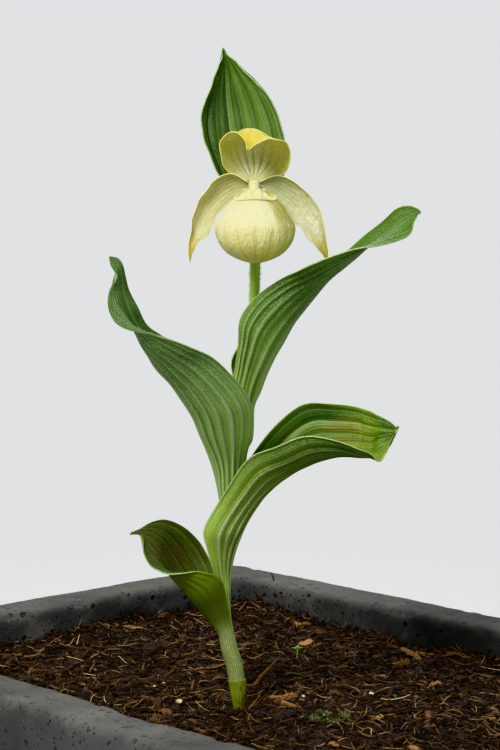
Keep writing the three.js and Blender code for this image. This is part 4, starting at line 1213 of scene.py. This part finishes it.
# %% The stem and the ovary
LOW_END, TOP_END = stem_share(-2), 1.0
OVARY_LINE = Rail([
    (7.5, 0, 211.3), (7.5, 0.9, 219), (7.4, 0.6, 226), (7.2, -1.6, 232.5), (7, -4.6, 236.8),
    (7, -7.7, 237.9),
])
OVARY_RADIUS = [(0, 2.2), (0.2, 2.6), (0.4, 2.7), (0.6, 2.3), (0.8, 1.9), (1, 1.5)]


def stem_radius(share, angle):
    height = STEM_LINE.at(blend(LOW_END, TOP_END, share)).z
    return between(STEM_RADIUS, height) * (1 + 0.02 * math.cos(7 * angle)) * dome(share, 0.002, 0.9985)


def ovary_radius(share, angle):
    ribs = 0.2 * math.cos(6 * angle) * ease(share, 0, 0.15)
    return (between(OVARY_RADIUS, share) + ribs) * dome(share, 0.003, 0.97)


bm = stalk(STEM_LINE, stem_radius, 28, 200, LOW_END, TOP_END)
keep("stem", bm, [STEM_LOOK], "stem_tissue", "stem")
bm = stalk(OVARY_LINE, ovary_radius, 48, 60)
keep("ovary", bm, [STEM_LOOK], "stem_tissue", "ovary")

# %% Hairs on the stem and the ovary
HAIR_FOOT, HAIR_TIP, HAIR_LENGTHS = 0.09, 0.015, (0.6, 1.35)
HAIR_BEDS = [  # line, hairs, where they begin and end, and the radius they stand on
    (STEM_LINE, 1100, stem_share(186), 0.999, lambda share: 2.15),
    (OVARY_LINE, 640, 0.0, 0.95, lambda share: between(OVARY_RADIUS, share)),
]


def spike(bm, sides, foot, tip, length, place):
    """Adds an open cone, for a hair or a tuft; foot and tip are its radii."""
    bmesh.ops.create_cone(
        bm, segments=sides, radius1=foot, radius2=tip, depth=length, cap_ends=False, matrix=place)


draw = random.Random(3)
bm = bmesh.new()
for line, count, low, high, radius_at in HAIR_BEDS:
    for _ in range(count):
        share = blend(low, high, draw.random())
        way = line.heading(share)
        out = Matrix.Rotation(draw.random() * FULL_TURN, 3, way) @ sideways(way)
        lean = (out + way * draw.uniform(0.0, 0.5)).normalized()
        size = draw.uniform(*HAIR_LENGTHS)
        turn = lean.to_track_quat("Z", "Y").to_matrix().to_4x4()
        middle = line.at(share) + out * radius_at(share) * 0.97 + lean * size / 2
        spike(bm, 3, HAIR_FOOT, HAIR_TIP, size, Matrix.Translation(middle) @ turn)
keep("stem_hairs", bm, [flecked_finish("hair", "c3d694")], "stem_tissue")

# %% [markdown]
# ## The sheath at the foot
#
# A short leaf without a blade wraps the foot of the plant, with one edge lapped over the
# other. It is a grid wound a little more than once round, its radius growing as it goes.


# %% Sheath finish
def sheath_finish(name):
    f = Finish(name, 0.45)
    across, along = f.uv()
    cloud = f.noise(260, 4, 0.65)
    grain = f.drawn_noise(across * 60, along * 5, 0.0)
    vein = across.stripes(22, grain * 2)
    colour = f.coats("66782c", [
        ("8a9a3c", (cloud * 0.7 + grain * 0.6).rise(0.45, 0.85)),
        ("a3b352", vein.rise(0.6, 1.0) * 0.3),
        ("4f5a18", along.fall(0.25, 0.6) * 0.5),
        ("593c1e", cloud.rise(0.5, 0.58) * across.rise(0.3, 0.62) * 0.85)])
    return f.dress(colour, grain * 0.15 + 0.38, vein * 0.5 + cloud, 0.0002)


# %% The sheath
SHEATH_RADIUS = [(-4, 2.6), (1, 2.65), (9, 3.7), (13, 4.15)]
SHEATH_FOOT, SHEATH_TOP, SHEATH_WALL = -3.5, 12.7, 0.3
HALF_WINDING = 200
bm = skin(84, 34)
for vert, side, up in places(bm):
    top = SHEATH_TOP + 0.5 * math.cos(side * math.pi) - 0.9 * ease(side, 0.75, 1.0) * up
    height = blend(SHEATH_FOOT, top, up)
    radius = between(SHEATH_RADIUS, height) + 0.22 * side + 0.05 * math.cos(44 * side)
    radius += 0.14 * noise.noise(Vector((side * 2, height * 0.25, 2)))
    vert.co = ring_point(height, radius, -90 + side * HALF_WINDING)[0]
sheath = keep("foot_sheath", bm, [sheath_finish("sheath_green")], "stem_tissue", "base_sheath")
thicken(sheath, SHEATH_WALL, -1)

# %% [markdown]
# ## The trough
#
# The trough is cast in a rough mould: stone dust, grit and cement, with air pits and
# softened, chipped edges. One profile goes from the foot up the outside, over the rim and
# down the inside, and a grid carries it round a rectangle with rounded corners. Because
# the grid is even, every vertex can then be moved a little by noise, so the roughness is
# real in the outline and in shadow. The underside and the floor are filled round the two
# drain holes.

# %% The trough's outline and profile
CORNER_STEPS = 8
SIDE_STEPS = (126, 88)
TALL, WALL, FLOOR = TROUGH["height"], TROUGH["wall"], TROUGH["floor"]


def round_rectangle(column, length, width, corner):
    """The point for a column of the grid on a rectangle with rounded corners."""
    turn = math.pi / 2
    for quarter in range(4):
        steps = SIDE_STEPS[quarter % 2]
        size = (length, width) if quarter % 2 == 0 else (width, length)
        half, depth = size[0] / 2 - corner, size[1] / 2
        if column <= steps:
            flat = Vector((blend(-half, half, column / steps), -depth, 0))
        elif column <= steps + CORNER_STEPS:
            angle = turn * (column - steps) / CORNER_STEPS - turn
            flat = Vector((half + corner * math.cos(angle), -depth + corner + corner * math.sin(angle), 0))
        else:
            column -= steps + CORNER_STEPS
            continue
        return Matrix.Rotation(turn * quarter, 3, "Z") @ flat
    return round_rectangle(0, length, width, corner)


def taper(z):
    """How much the trough has narrowed at a height, as a share of its size at the rim."""
    return 1 - TROUGH["taper"] * (1 - z / TALL)


def run(start, end, steps):
    """Even points of a profile from start to end."""
    return [tuple(blend(a, b, i / steps) for a, b in zip(start, end)) for i in range(steps + 1)]


TROUGH_PROFILE = [  # (how far in from the outside, height)
    (5, 0), (3.2, 0.4), (1.5, 1.5), (0.4, 3.2), *run((0, 5), (0, TALL - 5), 58),
    (0.4, TALL - 3.2), (1.5, TALL - 1.5), (3.2, TALL - 0.4),
    *run((5, TALL), (WALL - 4, TALL), 9), (WALL - 2.4, TALL - 0.4), (WALL - 1.1, TALL - 1.3),
    (WALL - 0.3, TALL - 2.6), *run((WALL, TALL - 4), (WALL, MIX_TOP - 6), 9),
    *run((WALL, 100), (WALL, FLOOR), 2),
]
print(len(TROUGH_PROFILE), "points round the trough's wall")


# %% Cast stone finish
def stone_finish(name, pale, mid, dark):
    f = Finish(name, 0.3)
    cloud, blotch = f.noise(9, 5, 0.6), f.noise(38, 5, 0.65, 0.6)
    stain, grit = f.noise(16, 4, 0.7, 1.5), f.noise(650, 4, 0.7)
    grains, pits, pores = [f.cells(scale) for scale in (420, 150, 330)]
    up = f.up()
    pit = pits.fall(0.12, 0.26) * blotch.rise(0.42, 0.62)
    pore = pores.fall(0.1, 0.24) * cloud.rise(0.35, 0.6)
    colour = f.coats(dark, [
        (mid, (cloud * 0.8 + blotch * 0.5).rise(0.45, 0.85)),
        (pale, blotch.rise(0.55, 0.78) * 0.55),
        ("8b8982", grains.fall(0.12, 0.2) * grit.rise(0.5, 0.65) * 0.75),
        ("2b2b2c", grains.fall(0.1, 0.2) * grit.fall(0.38, 0.48) * 0.8),
        ("1a1a1a", (pit + pore * 0.7).rise(0.0, 1.0) * 0.85),
        (pale, (up + blotch * 0.012).rise(0.151, 0.158) * 0.4),
        ("3d4033", (up + stain * 0.05).fall(0.028, 0.06) * 0.5)])
    height = blotch * 0.5 + grit * 0.35 - pit * 1.6 - pore * 0.9
    return f.dress(colour, grit * 0.12 + 0.8, height, 0.0009)


STONE = stone_finish("cast_stone", "77756f", "535352", "3b3c3d")


# %% The trough's wall, drain holes and rough skin
def stone_relief(point, edge):
    """How far the cast surface stands in or out at a point, in millimetres."""
    broad = 0.55 * noise.noise(point / 45) + 0.3 * noise.noise(point / 13)
    fine = 0.16 * noise.noise(point / 3.7)
    gap, _ = noise.voronoi(point / 9)
    pitted = noise.noise(point / 11 + Vector((7, 0, 0))) > -0.05
    pit = 1.1 * max(0.0, 1 - gap[0] / 0.3) ** 0.7 if pitted else 0.0
    chip = edge * 2.2 * ease(noise.noise(point / 14 + Vector((0, 9, 0))), 0.12, 0.5)
    return broad + fine - pit - chip


def open_edges(bm, keep_edge=lambda edge: True):
    return [edge for edge in bm.edges if edge.is_boundary and keep_edge(edge)]


COLUMNS, ROWS = 2 * sum(SIDE_STEPS) + 4 * CORNER_STEPS, len(TROUGH_PROFILE) - 1
bm = skin(COLUMNS, ROWS)
for vert, side, up in places(bm):
    column = round((side + 1) / 2 * COLUMNS)
    inset, z = TROUGH_PROFILE[round(up * ROWS)]
    corner = blend(TROUGH["corner"], TROUGH["inner_corner"], inset / WALL)
    flat = round_rectangle(column, TROUGH["length"] - 2 * inset, TROUGH["width"] - 2 * inset, corner)
    vert.co = Vector((flat.x * taper(z), flat.y * taper(z), z))
bmesh.ops.remove_doubles(bm, verts=bm.verts, dist=1e-3)
foot_edges = open_edges(bm, lambda edge: edge.verts[0].co.z < 1)
floor_edges = open_edges(bm, lambda edge: edge.verts[0].co.z > 1)
drains = []
for x in (-TROUGH["drain_x"], TROUGH["drain_x"]):
    for z, rims in ((0, foot_edges), (FLOOR, floor_edges)):
        ring = bmesh.ops.create_circle(
            bm, segments=24, radius=TROUGH["drain_radius"], matrix=Matrix.Translation((x, 0, z)))["verts"]
        ring_edges = list(dict.fromkeys(edge for vert in ring for edge in vert.link_edges))
        rims.extend(ring_edges)
        drains.append(ring_edges)
for rims in (foot_edges, floor_edges):
    bmesh.ops.triangle_fill(bm, use_beauty=True, use_dissolve=False, edges=rims)
for low, high in (drains[0:2], drains[2:4]):
    bmesh.ops.bridge_loops(bm, edges=[*low, *high])
bmesh.ops.recalc_face_normals(bm, faces=bm.faces)
bm.normal_update()
for vert in bm.verts:
    x, y, z = vert.co
    if z < 0.2 or abs(z - FLOOR) < 0.2:
        continue
    inset = min(TROUGH["length"] / 2 * taper(z) - abs(x), TROUGH["width"] / 2 * taper(z) - abs(y))
    edge = ease(z, TALL - 6, TALL - 1) * ease(abs(inset - WALL / 2), WALL * 0.3, WALL * 0.45)
    vert.co += vert.normal * stone_relief(vert.co.copy(), edge) * ease(z, 0.5, 6)
keep("stone_trough", bm, [STONE], "trough_stone", "trough", place=IN_TROUGH)

# %% [markdown]
# ## The growing mix
#
# The mix is shredded bark over finer crumbs. Underneath is one closed block with an uneven
# top, and over it lie thousands of separate scraps. The same function gives the height of
# the ground everywhere, so that every scrap can be laid on it.

# %% The ground
INSIDE = (TROUGH["length"] / 2 - WALL - 0.3, TROUGH["width"] / 2 - WALL - 0.3)
HEAPS = [  # x, y, height and radius
    (-158, 98, 2.5, 34), (-120, 105, 2, 26), (-165, 40, 1.5, 26), (150, 95, 2, 34), (60, 108, 2, 20),
]


def ground(x, y):
    """The height of the mix at a place in the trough."""
    wall = max(abs(x) / INSIDE[0], abs(y) / INSIDE[1])
    from_stem = math.hypot(x - STEM_FOOT.x, y - STEM_FOOT.y)
    waves = 1.6 * math.sin(x / 31) * math.cos(y / 23) + 0.9 * math.sin(x / 13 + y / 17)
    heap = sum(h * math.exp(-((x - cx) ** 2 + (y - cy) ** 2) / r ** 2) for cx, cy, h, r in HEAPS)
    rough = 1.5 * noise.noise(Vector((x, y, 0)) / 15) + 1.0 * noise.noise(Vector((x, y, 9)) / 5.5)
    return MIX_TOP + (waves + 3 * ease(wall, 0.7, 1) + heap) * ease(from_stem, 6, 40) \
        + rough * ease(from_stem, 3, 16) - 0.8


def into_corners(x, y):
    """Draws the corners of a grid in to a rounded rectangle."""
    corner = TROUGH["inner_corner"]
    dx, dy = abs(x) - (INSIDE[0] - corner), abs(y) - (INSIDE[1] - corner)
    if dx <= 0 or dy <= 0:
        return x, y
    share = max(dx, dy) / math.hypot(dx, dy)
    return [math.copysign(half - corner + past * share, way)
            for half, past, way in zip(INSIDE, (dx, dy), (x, y))]


# %% Bark finishes
def bark_finish(name, dark, mid, light, pale, tones=(0.35, 0.7, 0.93), roughness=0.75, loose=True):
    """Bark with grain along each scrap; tone picks the colour of one scrap."""
    f = Finish(name, 0.35)
    cloud = f.noise(120, 3, 0.6)
    if loose:
        tone, along, across = f.attributes("tone", "along", "across")
        grain = f.drawn_noise(along * 1.6, across * 5 + tone * 90, tone * 40, 4, 0.7)
    else:
        tone, grain = f.noise(300, 3, 0.7), f.noise(900, 3, 0.7, 1.0)
    shade = tone + (cloud - 0.5) * 0.25 + (grain - 0.5) * 0.35
    steps = zip((mid, light, pale), (0.0, *tones), tones)
    coats = [(colour, shade.rise(low, high)) for colour, low, high in steps]
    colour = f.coats(dark, [*coats, (dark, grain.fall(0.3, 0.46) * 0.6)])
    return f.dress(colour, grain * 0.2 + roughness - 0.1, grain + cloud * 0.5, 0.0003)


BED_LOOK = bark_finish("mix_bed", "0e0907", "1d130d", "322117", "4b3525", loose=False)
SHRED_LOOK = bark_finish("bark_shreds", "120c09", "261911", "41301f", "755c43", tones=(0.4, 0.8, 1.0))
FIBRE_LOOK = bark_finish("bark_fibres", "21160f", "412c1e", "6d4e35", "ab8c69", roughness=0.65)
STRAW_LOOK = bark_finish("straws", "574330", "7e654a", "a38a69", "ccb890", roughness=0.6)
CHIP_LOOK = bark_finish("bark_chips", "20140e", "3f2a1c", "6b4a2e", "a67b50")

# %% The bed
bm = skin(212, 144)
for vert in bm.verts:
    x, y = into_corners(vert.co.x * INSIDE[0], vert.co.y * INSIDE[1])
    z = ground(x, y)
    grain = 0.8 * noise.noise(Vector((x, y, 3)) / 2.1) + 0.5 * noise.noise(Vector((x * 0.35, y, 5)) / 1.3)
    vert.co = Vector((x * taper(z), y * taper(z), z + grain))
skirt = bmesh.ops.extrude_edge_only(bm, edges=open_edges(bm))["geom"]
bottom = FLOOR + 0.5
for vert in (part for part in skirt if isinstance(part, bmesh.types.BMVert)):
    share = taper(bottom) / taper(vert.co.z)
    vert.co = Vector((vert.co.x * share, vert.co.y * share, bottom))
bmesh.ops.holes_fill(bm, edges=open_edges(bm), sides=0)
bmesh.ops.recalc_face_normals(bm, faces=bm.faces)
keep("mix_bed", bm, [BED_LOOK], "bark_mix", "growing_mix", place=IN_TROUGH)

# %% [markdown]
# ## Shredded bark
#
# A scrap of bark is a bar of a few dozen faces. Thousands of them are needed, and adding
# them one by one would be slow, so the whole mesh is duplicated again and again: twelve
# doublings make 4096. The duplicates stay in blocks of the same vertices, and a seeded draw
# then bends, twists, tapers and lays every block somewhere else. Each block also gets one
# number, its tone, from which the finish picks its colour.


# %% Scraps and their copies
def edges_along(bm, axis):
    """The edges of a box from -1 to 1 that run along an axis."""
    return [e for e in bm.edges if abs(e.verts[0].co[axis] - e.verts[1].co[axis]) > 1]


def bar(rings):
    """A square bar from -1 to 1 along X, with rings of vertices along it."""
    bm = bmesh.new()
    bmesh.ops.create_cube(bm, size=2)
    bmesh.ops.subdivide_edges(bm, edges=edges_along(bm, 0), cuts=rings)
    return bm


def bevelled(bm, edges, offset, segments):
    bmesh.ops.bevel(
        bm, geom=edges, offset=offset, affect="EDGES", segments=segments, profile=0.5, material=-1)
    return bm


def crumb():
    bm = bmesh.new()
    ball(bm, 1)
    return bm


def with_tone(bm, tone=0.0):
    """Gives every vertex a tone, and its place along and across, for the finish."""
    along, across, tone_layer = layers(bm, "along", "across", "tone")
    for vert in bm.verts:
        vert[along], vert[across], vert[tone_layer] = vert.co.x, vert.co.y, tone
    return bm


def doubled(template, doublings):
    """Duplicates everything again and again, and gives the bmesh and its blocks of vertices."""
    bm = bmesh.new()
    pour(template, bm)
    size = len(bm.verts)
    for _ in range(doublings):
        bmesh.ops.duplicate(bm, geom=[*bm.verts, *bm.edges, *bm.faces])
    bm.verts.ensure_lookup_table()
    return bm, [bm.verts[i:i + size] for i in range(0, len(bm.verts), size)]


# %% Laying one scrap
def lay(bm, block, draw, tone, size, place, heading, tilt, roll, bend, twist, taper_ends):
    """Bends and twists one scrap and lays it at its place."""
    turn = (Matrix.Rotation(heading, 3, "Z") @ Matrix.Rotation(tilt, 3, "Y")
            @ Matrix.Rotation(roll, 3, "X"))
    limit = [side * taper(place.z) - 0.4 for side in INSIDE]
    tone_layer = bm.verts.layers.float["tone"]
    ragged = {}
    for vert in block:
        x, y, z = vert.co
        step = round(x, 2)
        if step not in ragged:
            ragged[step] = (draw.uniform(0.7, 1.15), draw.uniform(-0.25, 0.25))
        wide, shift = ragged[step]
        thin = 1 - taper_ends * abs(x) ** 2.5
        angle = twist * x
        y, z = (y * wide + shift) * size[1] * thin, z * size[2] * (0.5 + 0.5 * thin)
        y, z = y * math.cos(angle) - z * math.sin(angle), y * math.sin(angle) + z * math.cos(angle)
        point = place + turn @ Vector((
            x * size[0], y + bend[0] * x * x * size[0], z + bend[1] * x * x * size[0]))
        inside = [max(-most, min(most, c)) for most, c in zip(limit, point)]
        vert.co = (*inside, point.z)
        vert[tone_layer] = tone


def spot(draw, clear):
    """A place on the ground that is clear of the stem."""
    while True:
        x, y = draw.uniform(-1, 1) * INSIDE[0], draw.uniform(-1, 1) * INSIDE[1]
        if math.hypot(x - STEM_FOOT.x, y - STEM_FOOT.y) > clear:
            return Vector((x, y, ground(x, y)))


# %% [markdown]
# ## A table of scraps
#
# Shreds, fibres, straws, chips and crumbs differ only in their measures, so one function
# makes the rule for each. A measure is a plain number, or a way of drawing one: `even`
# between two limits, `part` as a share of the scrap's length, and `about` round a middle.
# A rule gives its values in the order in which `lay` takes them. Only the fibres that stand
# up out of the heaps need a rule of their own.


# %% Ways of drawing a measure
def even(low, high):
    return lambda draw, length: draw.uniform(low, high)


def part(low, high):
    return lambda draw, length: length * draw.uniform(low, high)


def about(middle, spread):
    return lambda draw, length: draw.gauss(middle, spread)


def drawn(draw, length, *ways):
    """Draws measures in their order; a plain number is taken as it is."""
    return [way(draw, length) if callable(way) else way for way in ways]


def scrap_rule(long, tone, wide, thick, clear, lift, tilt, roll, bend, twist, taper_ends, giants=0):
    """A rule that draws one scrap; clear is how far it stays from the stem, itself and per length."""
    def rule(draw):
        length = draw.uniform(*long) * (1.8 if giants and draw.random() < giants else 1)
        return (draw.random() ** tone, (length, *drawn(draw, length, wide, thick)),
                spot(draw, clear[0] + length * clear[1]) + Vector((0, 0, draw.uniform(*lift))),
                draw.uniform(0, FULL_TURN), *drawn(draw, length, tilt, roll),
                drawn(draw, length, *bend), *drawn(draw, length, twist, taper_ends))
    return rule


def standing_rule(draw):
    """Fibres that stick up out of the heaps along the walls."""
    cx, cy, _, radius = draw.choice(HEAPS)
    x = max(-INSIDE[0] + 2, min(INSIDE[0] - 2, draw.gauss(cx, radius * 0.6)))
    y = max(-INSIDE[1] + 2, min(INSIDE[1] - 2, draw.gauss(cy, radius * 0.5)))
    length = draw.uniform(1.5, 5.0)
    tilt = draw.uniform(-1.35, -0.35)
    return (draw.random() ** 2.5 * 0.6, (length, draw.uniform(0.15, 0.4), draw.uniform(0.12, 0.3)),
            Vector((x, y, ground(x, y) + length * math.sin(-tilt) * 0.75)),
            draw.uniform(0, FULL_TURN), tilt, draw.uniform(0, 3),
            (draw.gauss(0, 0.15), draw.gauss(0, 0.15)), draw.gauss(0, 0.6), draw.uniform(0.5, 0.95))


# %% Laying the loose bark
SHREDS = scrap_rule(
    long=(1.4, 4.4), giants=0.07, tone=1.7, wide=even(0.22, 0.75), thick=even(0.15, 0.4), clear=(3.2, 0.7),
    lift=(-0.3, 1.5), tilt=about(0, 0.2), roll=about(0, 0.6), bend=(about(0, 0.16), about(-0.03, 0.12)),
    twist=about(0, 0.5), taper_ends=even(0.2, 0.9))
FIBRES = scrap_rule(
    long=(1.5, 5.5), tone=1.3, wide=even(0.11, 0.27), thick=even(0.1, 0.2), clear=(3, 0.5), lift=(0.2, 2.2),
    tilt=about(0, 0.28), roll=even(0, 3), bend=(about(0, 0.4), about(0, 0.2)), twist=about(0, 0.8),
    taper_ends=even(0.3, 0.95))
STRAWS = scrap_rule(
    long=(2.5, 8), tone=1.2, wide=even(0.12, 0.26), thick=even(0.1, 0.18), clear=(4, 0.6), lift=(1.1, 2.6),
    tilt=about(0, 0.2), roll=even(0, 3), bend=(about(0, 0.45), about(0, 0.1)), twist=about(0, 0.4),
    taper_ends=even(0.2, 0.7))
CHIPS = scrap_rule(
    long=(2.5, 6.5), tone=1.4, wide=part(0.22, 0.45), thick=even(0.4, 0.9), clear=(6, 1), lift=(0.4, 1.6),
    tilt=about(0, 0.22), roll=about(0, 0.3), bend=(about(0, 0.05), about(0, 0.06)), twist=about(0, 0.3),
    taper_ends=even(0.1, 0.5))
CRUMBS = scrap_rule(
    long=(0.4, 1.2), tone=1.4, wide=part(0.5, 0.9), thick=part(0.4, 0.8), clear=(3.5, 0), lift=(0.2, 1.2),
    tilt=about(0, 0.5), roll=about(0, 0.5), bend=(0, 0), twist=0, taper_ends=0.1)

chip = bar(3)
LOOSE_BARK = {  # one scrap, how often it doubles, the seed of its draw, its rule and its look
    "bark_crumbs": (crumb(), 12, 11, CRUMBS, SHRED_LOOK),
    "bark_shreds_low": (bar(2), 12, 12, SHREDS, SHRED_LOOK),
    "bark_shreds_top": (bar(2), 12, 13, SHREDS, SHRED_LOOK),
    "bark_fibres": (bar(2), 12, 14, FIBRES, FIBRE_LOOK),
    "bark_straws": (bar(4), 8, 15, STRAWS, STRAW_LOOK),
    "bark_chips": (bevelled(chip, chip.edges, 0.12, 1), 7, 16, CHIPS, CHIP_LOOK),
    "bark_standing": (bar(3), 8, 17, standing_rule, SHRED_LOOK),
}
for name, (scrap, doublings, seed, rule, look) in LOOSE_BARK.items():
    draw = random.Random(seed)
    bm, blocks = doubled(with_tone(scrap), doublings)
    for block in blocks:
        lay(bm, block, draw, *rule(draw))
    keep(name, bm, [look], "bark_mix", place=IN_TROUGH)

# %% [markdown]
# ## Single finds in the mix
#
# A broad pale chip lies beside the stem, twigs lean in the far corner, and a stick rises
# behind the plant. These are laid one by one where they belong, with the same bending and
# twisting as the loose bark but more faces. The moss, the seedling and the pebbles have
# their own colours, so each is a piece of its own.


# %% Sticks and twigs
def on_ground(x, y, up=0.0):
    """A place on the mix, given beside the plant, in the trough's own frame."""
    place = Matrix.Rotation(PLANT_TURN, 3, "Z") @ Vector((x, y, 0)) + STEM_FOOT
    return Vector((place.x, place.y, ground(place.x, place.y) + up))


def twigs(name, tone, look, *shapes):
    """Knobbly tapering twigs, each given as points beside the plant and the radii of its ends."""
    bm = bmesh.new()
    for points, thick, thin in shapes:
        def radius_at(share, angle):
            knobs = 1 + 0.18 * math.sin(37 * share + 2 * angle)
            return blend(thick, thin, share) * knobs * dome(share, 0.02, 0.96)
        pour(stalk(Rail([on_ground(*point) for point in points]), radius_at, 10, 24), bm)
    keep(name, with_tone(bm, tone), [look], "bark_mix", place=IN_TROUGH)


TWIGS = [  # foot, how far the tip leans, and height
    ((22, 206), (-5, 2), 17), ((19, 209), (-6, -2), 9), ((1, 216), (4, 2), 9), ((8, 214), (-1, 1), 11),
    ((5, 216), (-7, 1), 7), ((-22, 196), (-6, 3), 6), ((33, 200), (6, 2), 5), ((26, 206), (3, 0), 6),
    ((-66, 130), (-14, 3), 9),
]
twigs("sticks", 0.82, CHIP_LOOK,
      ([(7, 50, 0), (10, 53, 3.5), (19, 58, 11)], 0.75, 0.4),
      ([(4, -3, 0.2), (7, -1, 3.2), (10, 0, 6.2)], 0.3, 0.14),
      ([(-22, 75, 1), (-12, 76, 2.4), (-2, 80, 5)], 0.5, 0.3))
twigs("twigs", 0.12, SHRED_LOOK, *(
    ([(x, y, -1), (x + lean_x * 0.4, y + lean_y, tall * 0.5), (x + lean_x, y + lean_y, tall)], 0.85, 0.2)
    for (x, y), (lean_x, lean_y), tall in TWIGS))

# %% The pale chip
chip = bar(7)
bmesh.ops.subdivide_edges(chip, edges=edges_along(chip, 1), cuts=3)
lay(with_tone(chip), [*chip.verts], random.Random(5), tone=0.95, size=(6.2, 2.5, 0.7),
    place=on_ground(19.6, 22, 1.9), heading=PLANT_TURN + 0.12, tilt=-0.1, roll=-0.25,
    bend=(0.02, 0.05), twist=0.25, taper_ends=0.15)
bevelled(chip, [e for e in chip.edges if e.calc_face_angle(0) > 0.8], 0.18, 2)
keep("pale_chip", chip, [CHIP_LOOK], "bark_mix", place=IN_TROUGH)

# %% Moss
MOSS_MIDDLE, MOSS_REACH, MOSS_TUFTS = (41, -25), (13, 9), 420
draw = random.Random(21)
bm = bmesh.new()
for _ in range(MOSS_TUFTS):
    heading, out = draw.uniform(0, FULL_TURN), draw.random() ** 0.7
    x = MOSS_MIDDLE[0] + MOSS_REACH[0] * out * math.cos(heading)
    y = MOSS_MIDDLE[1] + MOSS_REACH[1] * out * math.sin(heading)
    if noise.noise(Vector((x, y, 0)) / 5) < -0.08:
        continue
    tall = draw.uniform(0.8, 2.2)
    lean = Matrix.Rotation(draw.gauss(0, 0.4), 4, "X") @ Matrix.Rotation(draw.gauss(0, 0.4), 4, "Y")
    spike(bm, 4, 0.3, 0.04, tall, Matrix.Translation(on_ground(x, y, 1.3 + tall * 0.3)) @ lean)
keep("moss", bm, [flecked_finish("moss", "33481a", 0.7)], "leaf_tissue", place=IN_TROUGH)

# %% Seedling
SEED_LEAVES = [  # heading, tilt and length
    (0.6, 0.45, 3.0), (2.4, 0.6, 2.6), (3.9, 0.35, 2.9), (5.3, 0.9, 2.2),
]
foot = on_ground(28.8, 92.7)
bm = stalk(Rail([foot, foot + Vector((0.2, 0.1, 3)), foot + Vector((0.1, 0.3, 5.6))]),
           lambda share, angle: 0.32 * dome(share, 0.02, 0.9), 8, 10)
for heading, tilt, long in SEED_LEAVES:
    turn = Matrix.Rotation(heading, 4, "Z") @ Matrix.Rotation(-tilt, 4, "Y")
    for vert in ball(bm, 2):
        x, y, z = vert.co
        leaf = Vector((long * (x + 1) / 2, y * 0.85 * (1 - 0.3 * x), 0.2 * z + 0.25 * y * y))
        vert.co = turn @ leaf + foot + Vector((0.1, 0.3, 5.4))
keep("seedling", bm, [flecked_finish("seedling", "5f9a35")], "leaf_tissue", place=IN_TROUGH)

# %% Pebbles
PEBBLES = [((-27.5, 5.5), 1.35), ((-40, 36), 0.8), ((-36, 44), 0.7), ((30, 12), 0.7), ((62, 20), 1.0)]
bm = bmesh.new()
for place, size in PEBBLES:
    centre = on_ground(*place, 1.5)
    for vert in ball(bm, 3, size):
        vert.co *= 1 + 0.25 * noise.noise(vert.co * 0.9 + centre)
        vert.co = Vector((vert.co.x * 1.3, vert.co.y, vert.co.z * 0.75)) + centre
keep("pebbles", bm, [flecked_finish("pebble", "cdbf95")], "bark_mix", place=IN_TROUGH)

# %% [markdown]
# ## The floor
#
# The floor isn't part of the object, so it isn't attached to it. It is a plain pale disc that
# turns clear towards its edge, so from every side the object stands on an even ground.

# %% Floor
FLOOR_REACH, FLOOR_HEIGHT = 2.5, -0.0003
FLOOR_LOOK = Finish("floor_white", 0.2, Roughness=0.9)
FLOOR_LOOK.surface.inputs["Base Color"].default_value = (0.78, 0.78, 0.775, 1)
from_middle = FLOOR_LOOK.node(
    "ShaderNodeVectorMath", {"operation": "LENGTH"}, {0: FLOOR_LOOK.place()}, "Value")
FLOOR_LOOK.plug(FLOOR_LOOK.surface.inputs["Alpha"], from_middle.fall(0.4, 1.3))
bm = bmesh.new()
bmesh.ops.create_circle(
    bm, cap_ends=True, segments=96, radius=FLOOR_REACH, matrix=Matrix.Translation((0, 0, FLOOR_HEIGHT)))
floor_mesh = bpy.data.meshes.new("floor")
bm.to_mesh(floor_mesh)
bm.free()
floor_mesh.materials.append(FLOOR_LOOK.material)
show("floor", floor_mesh)
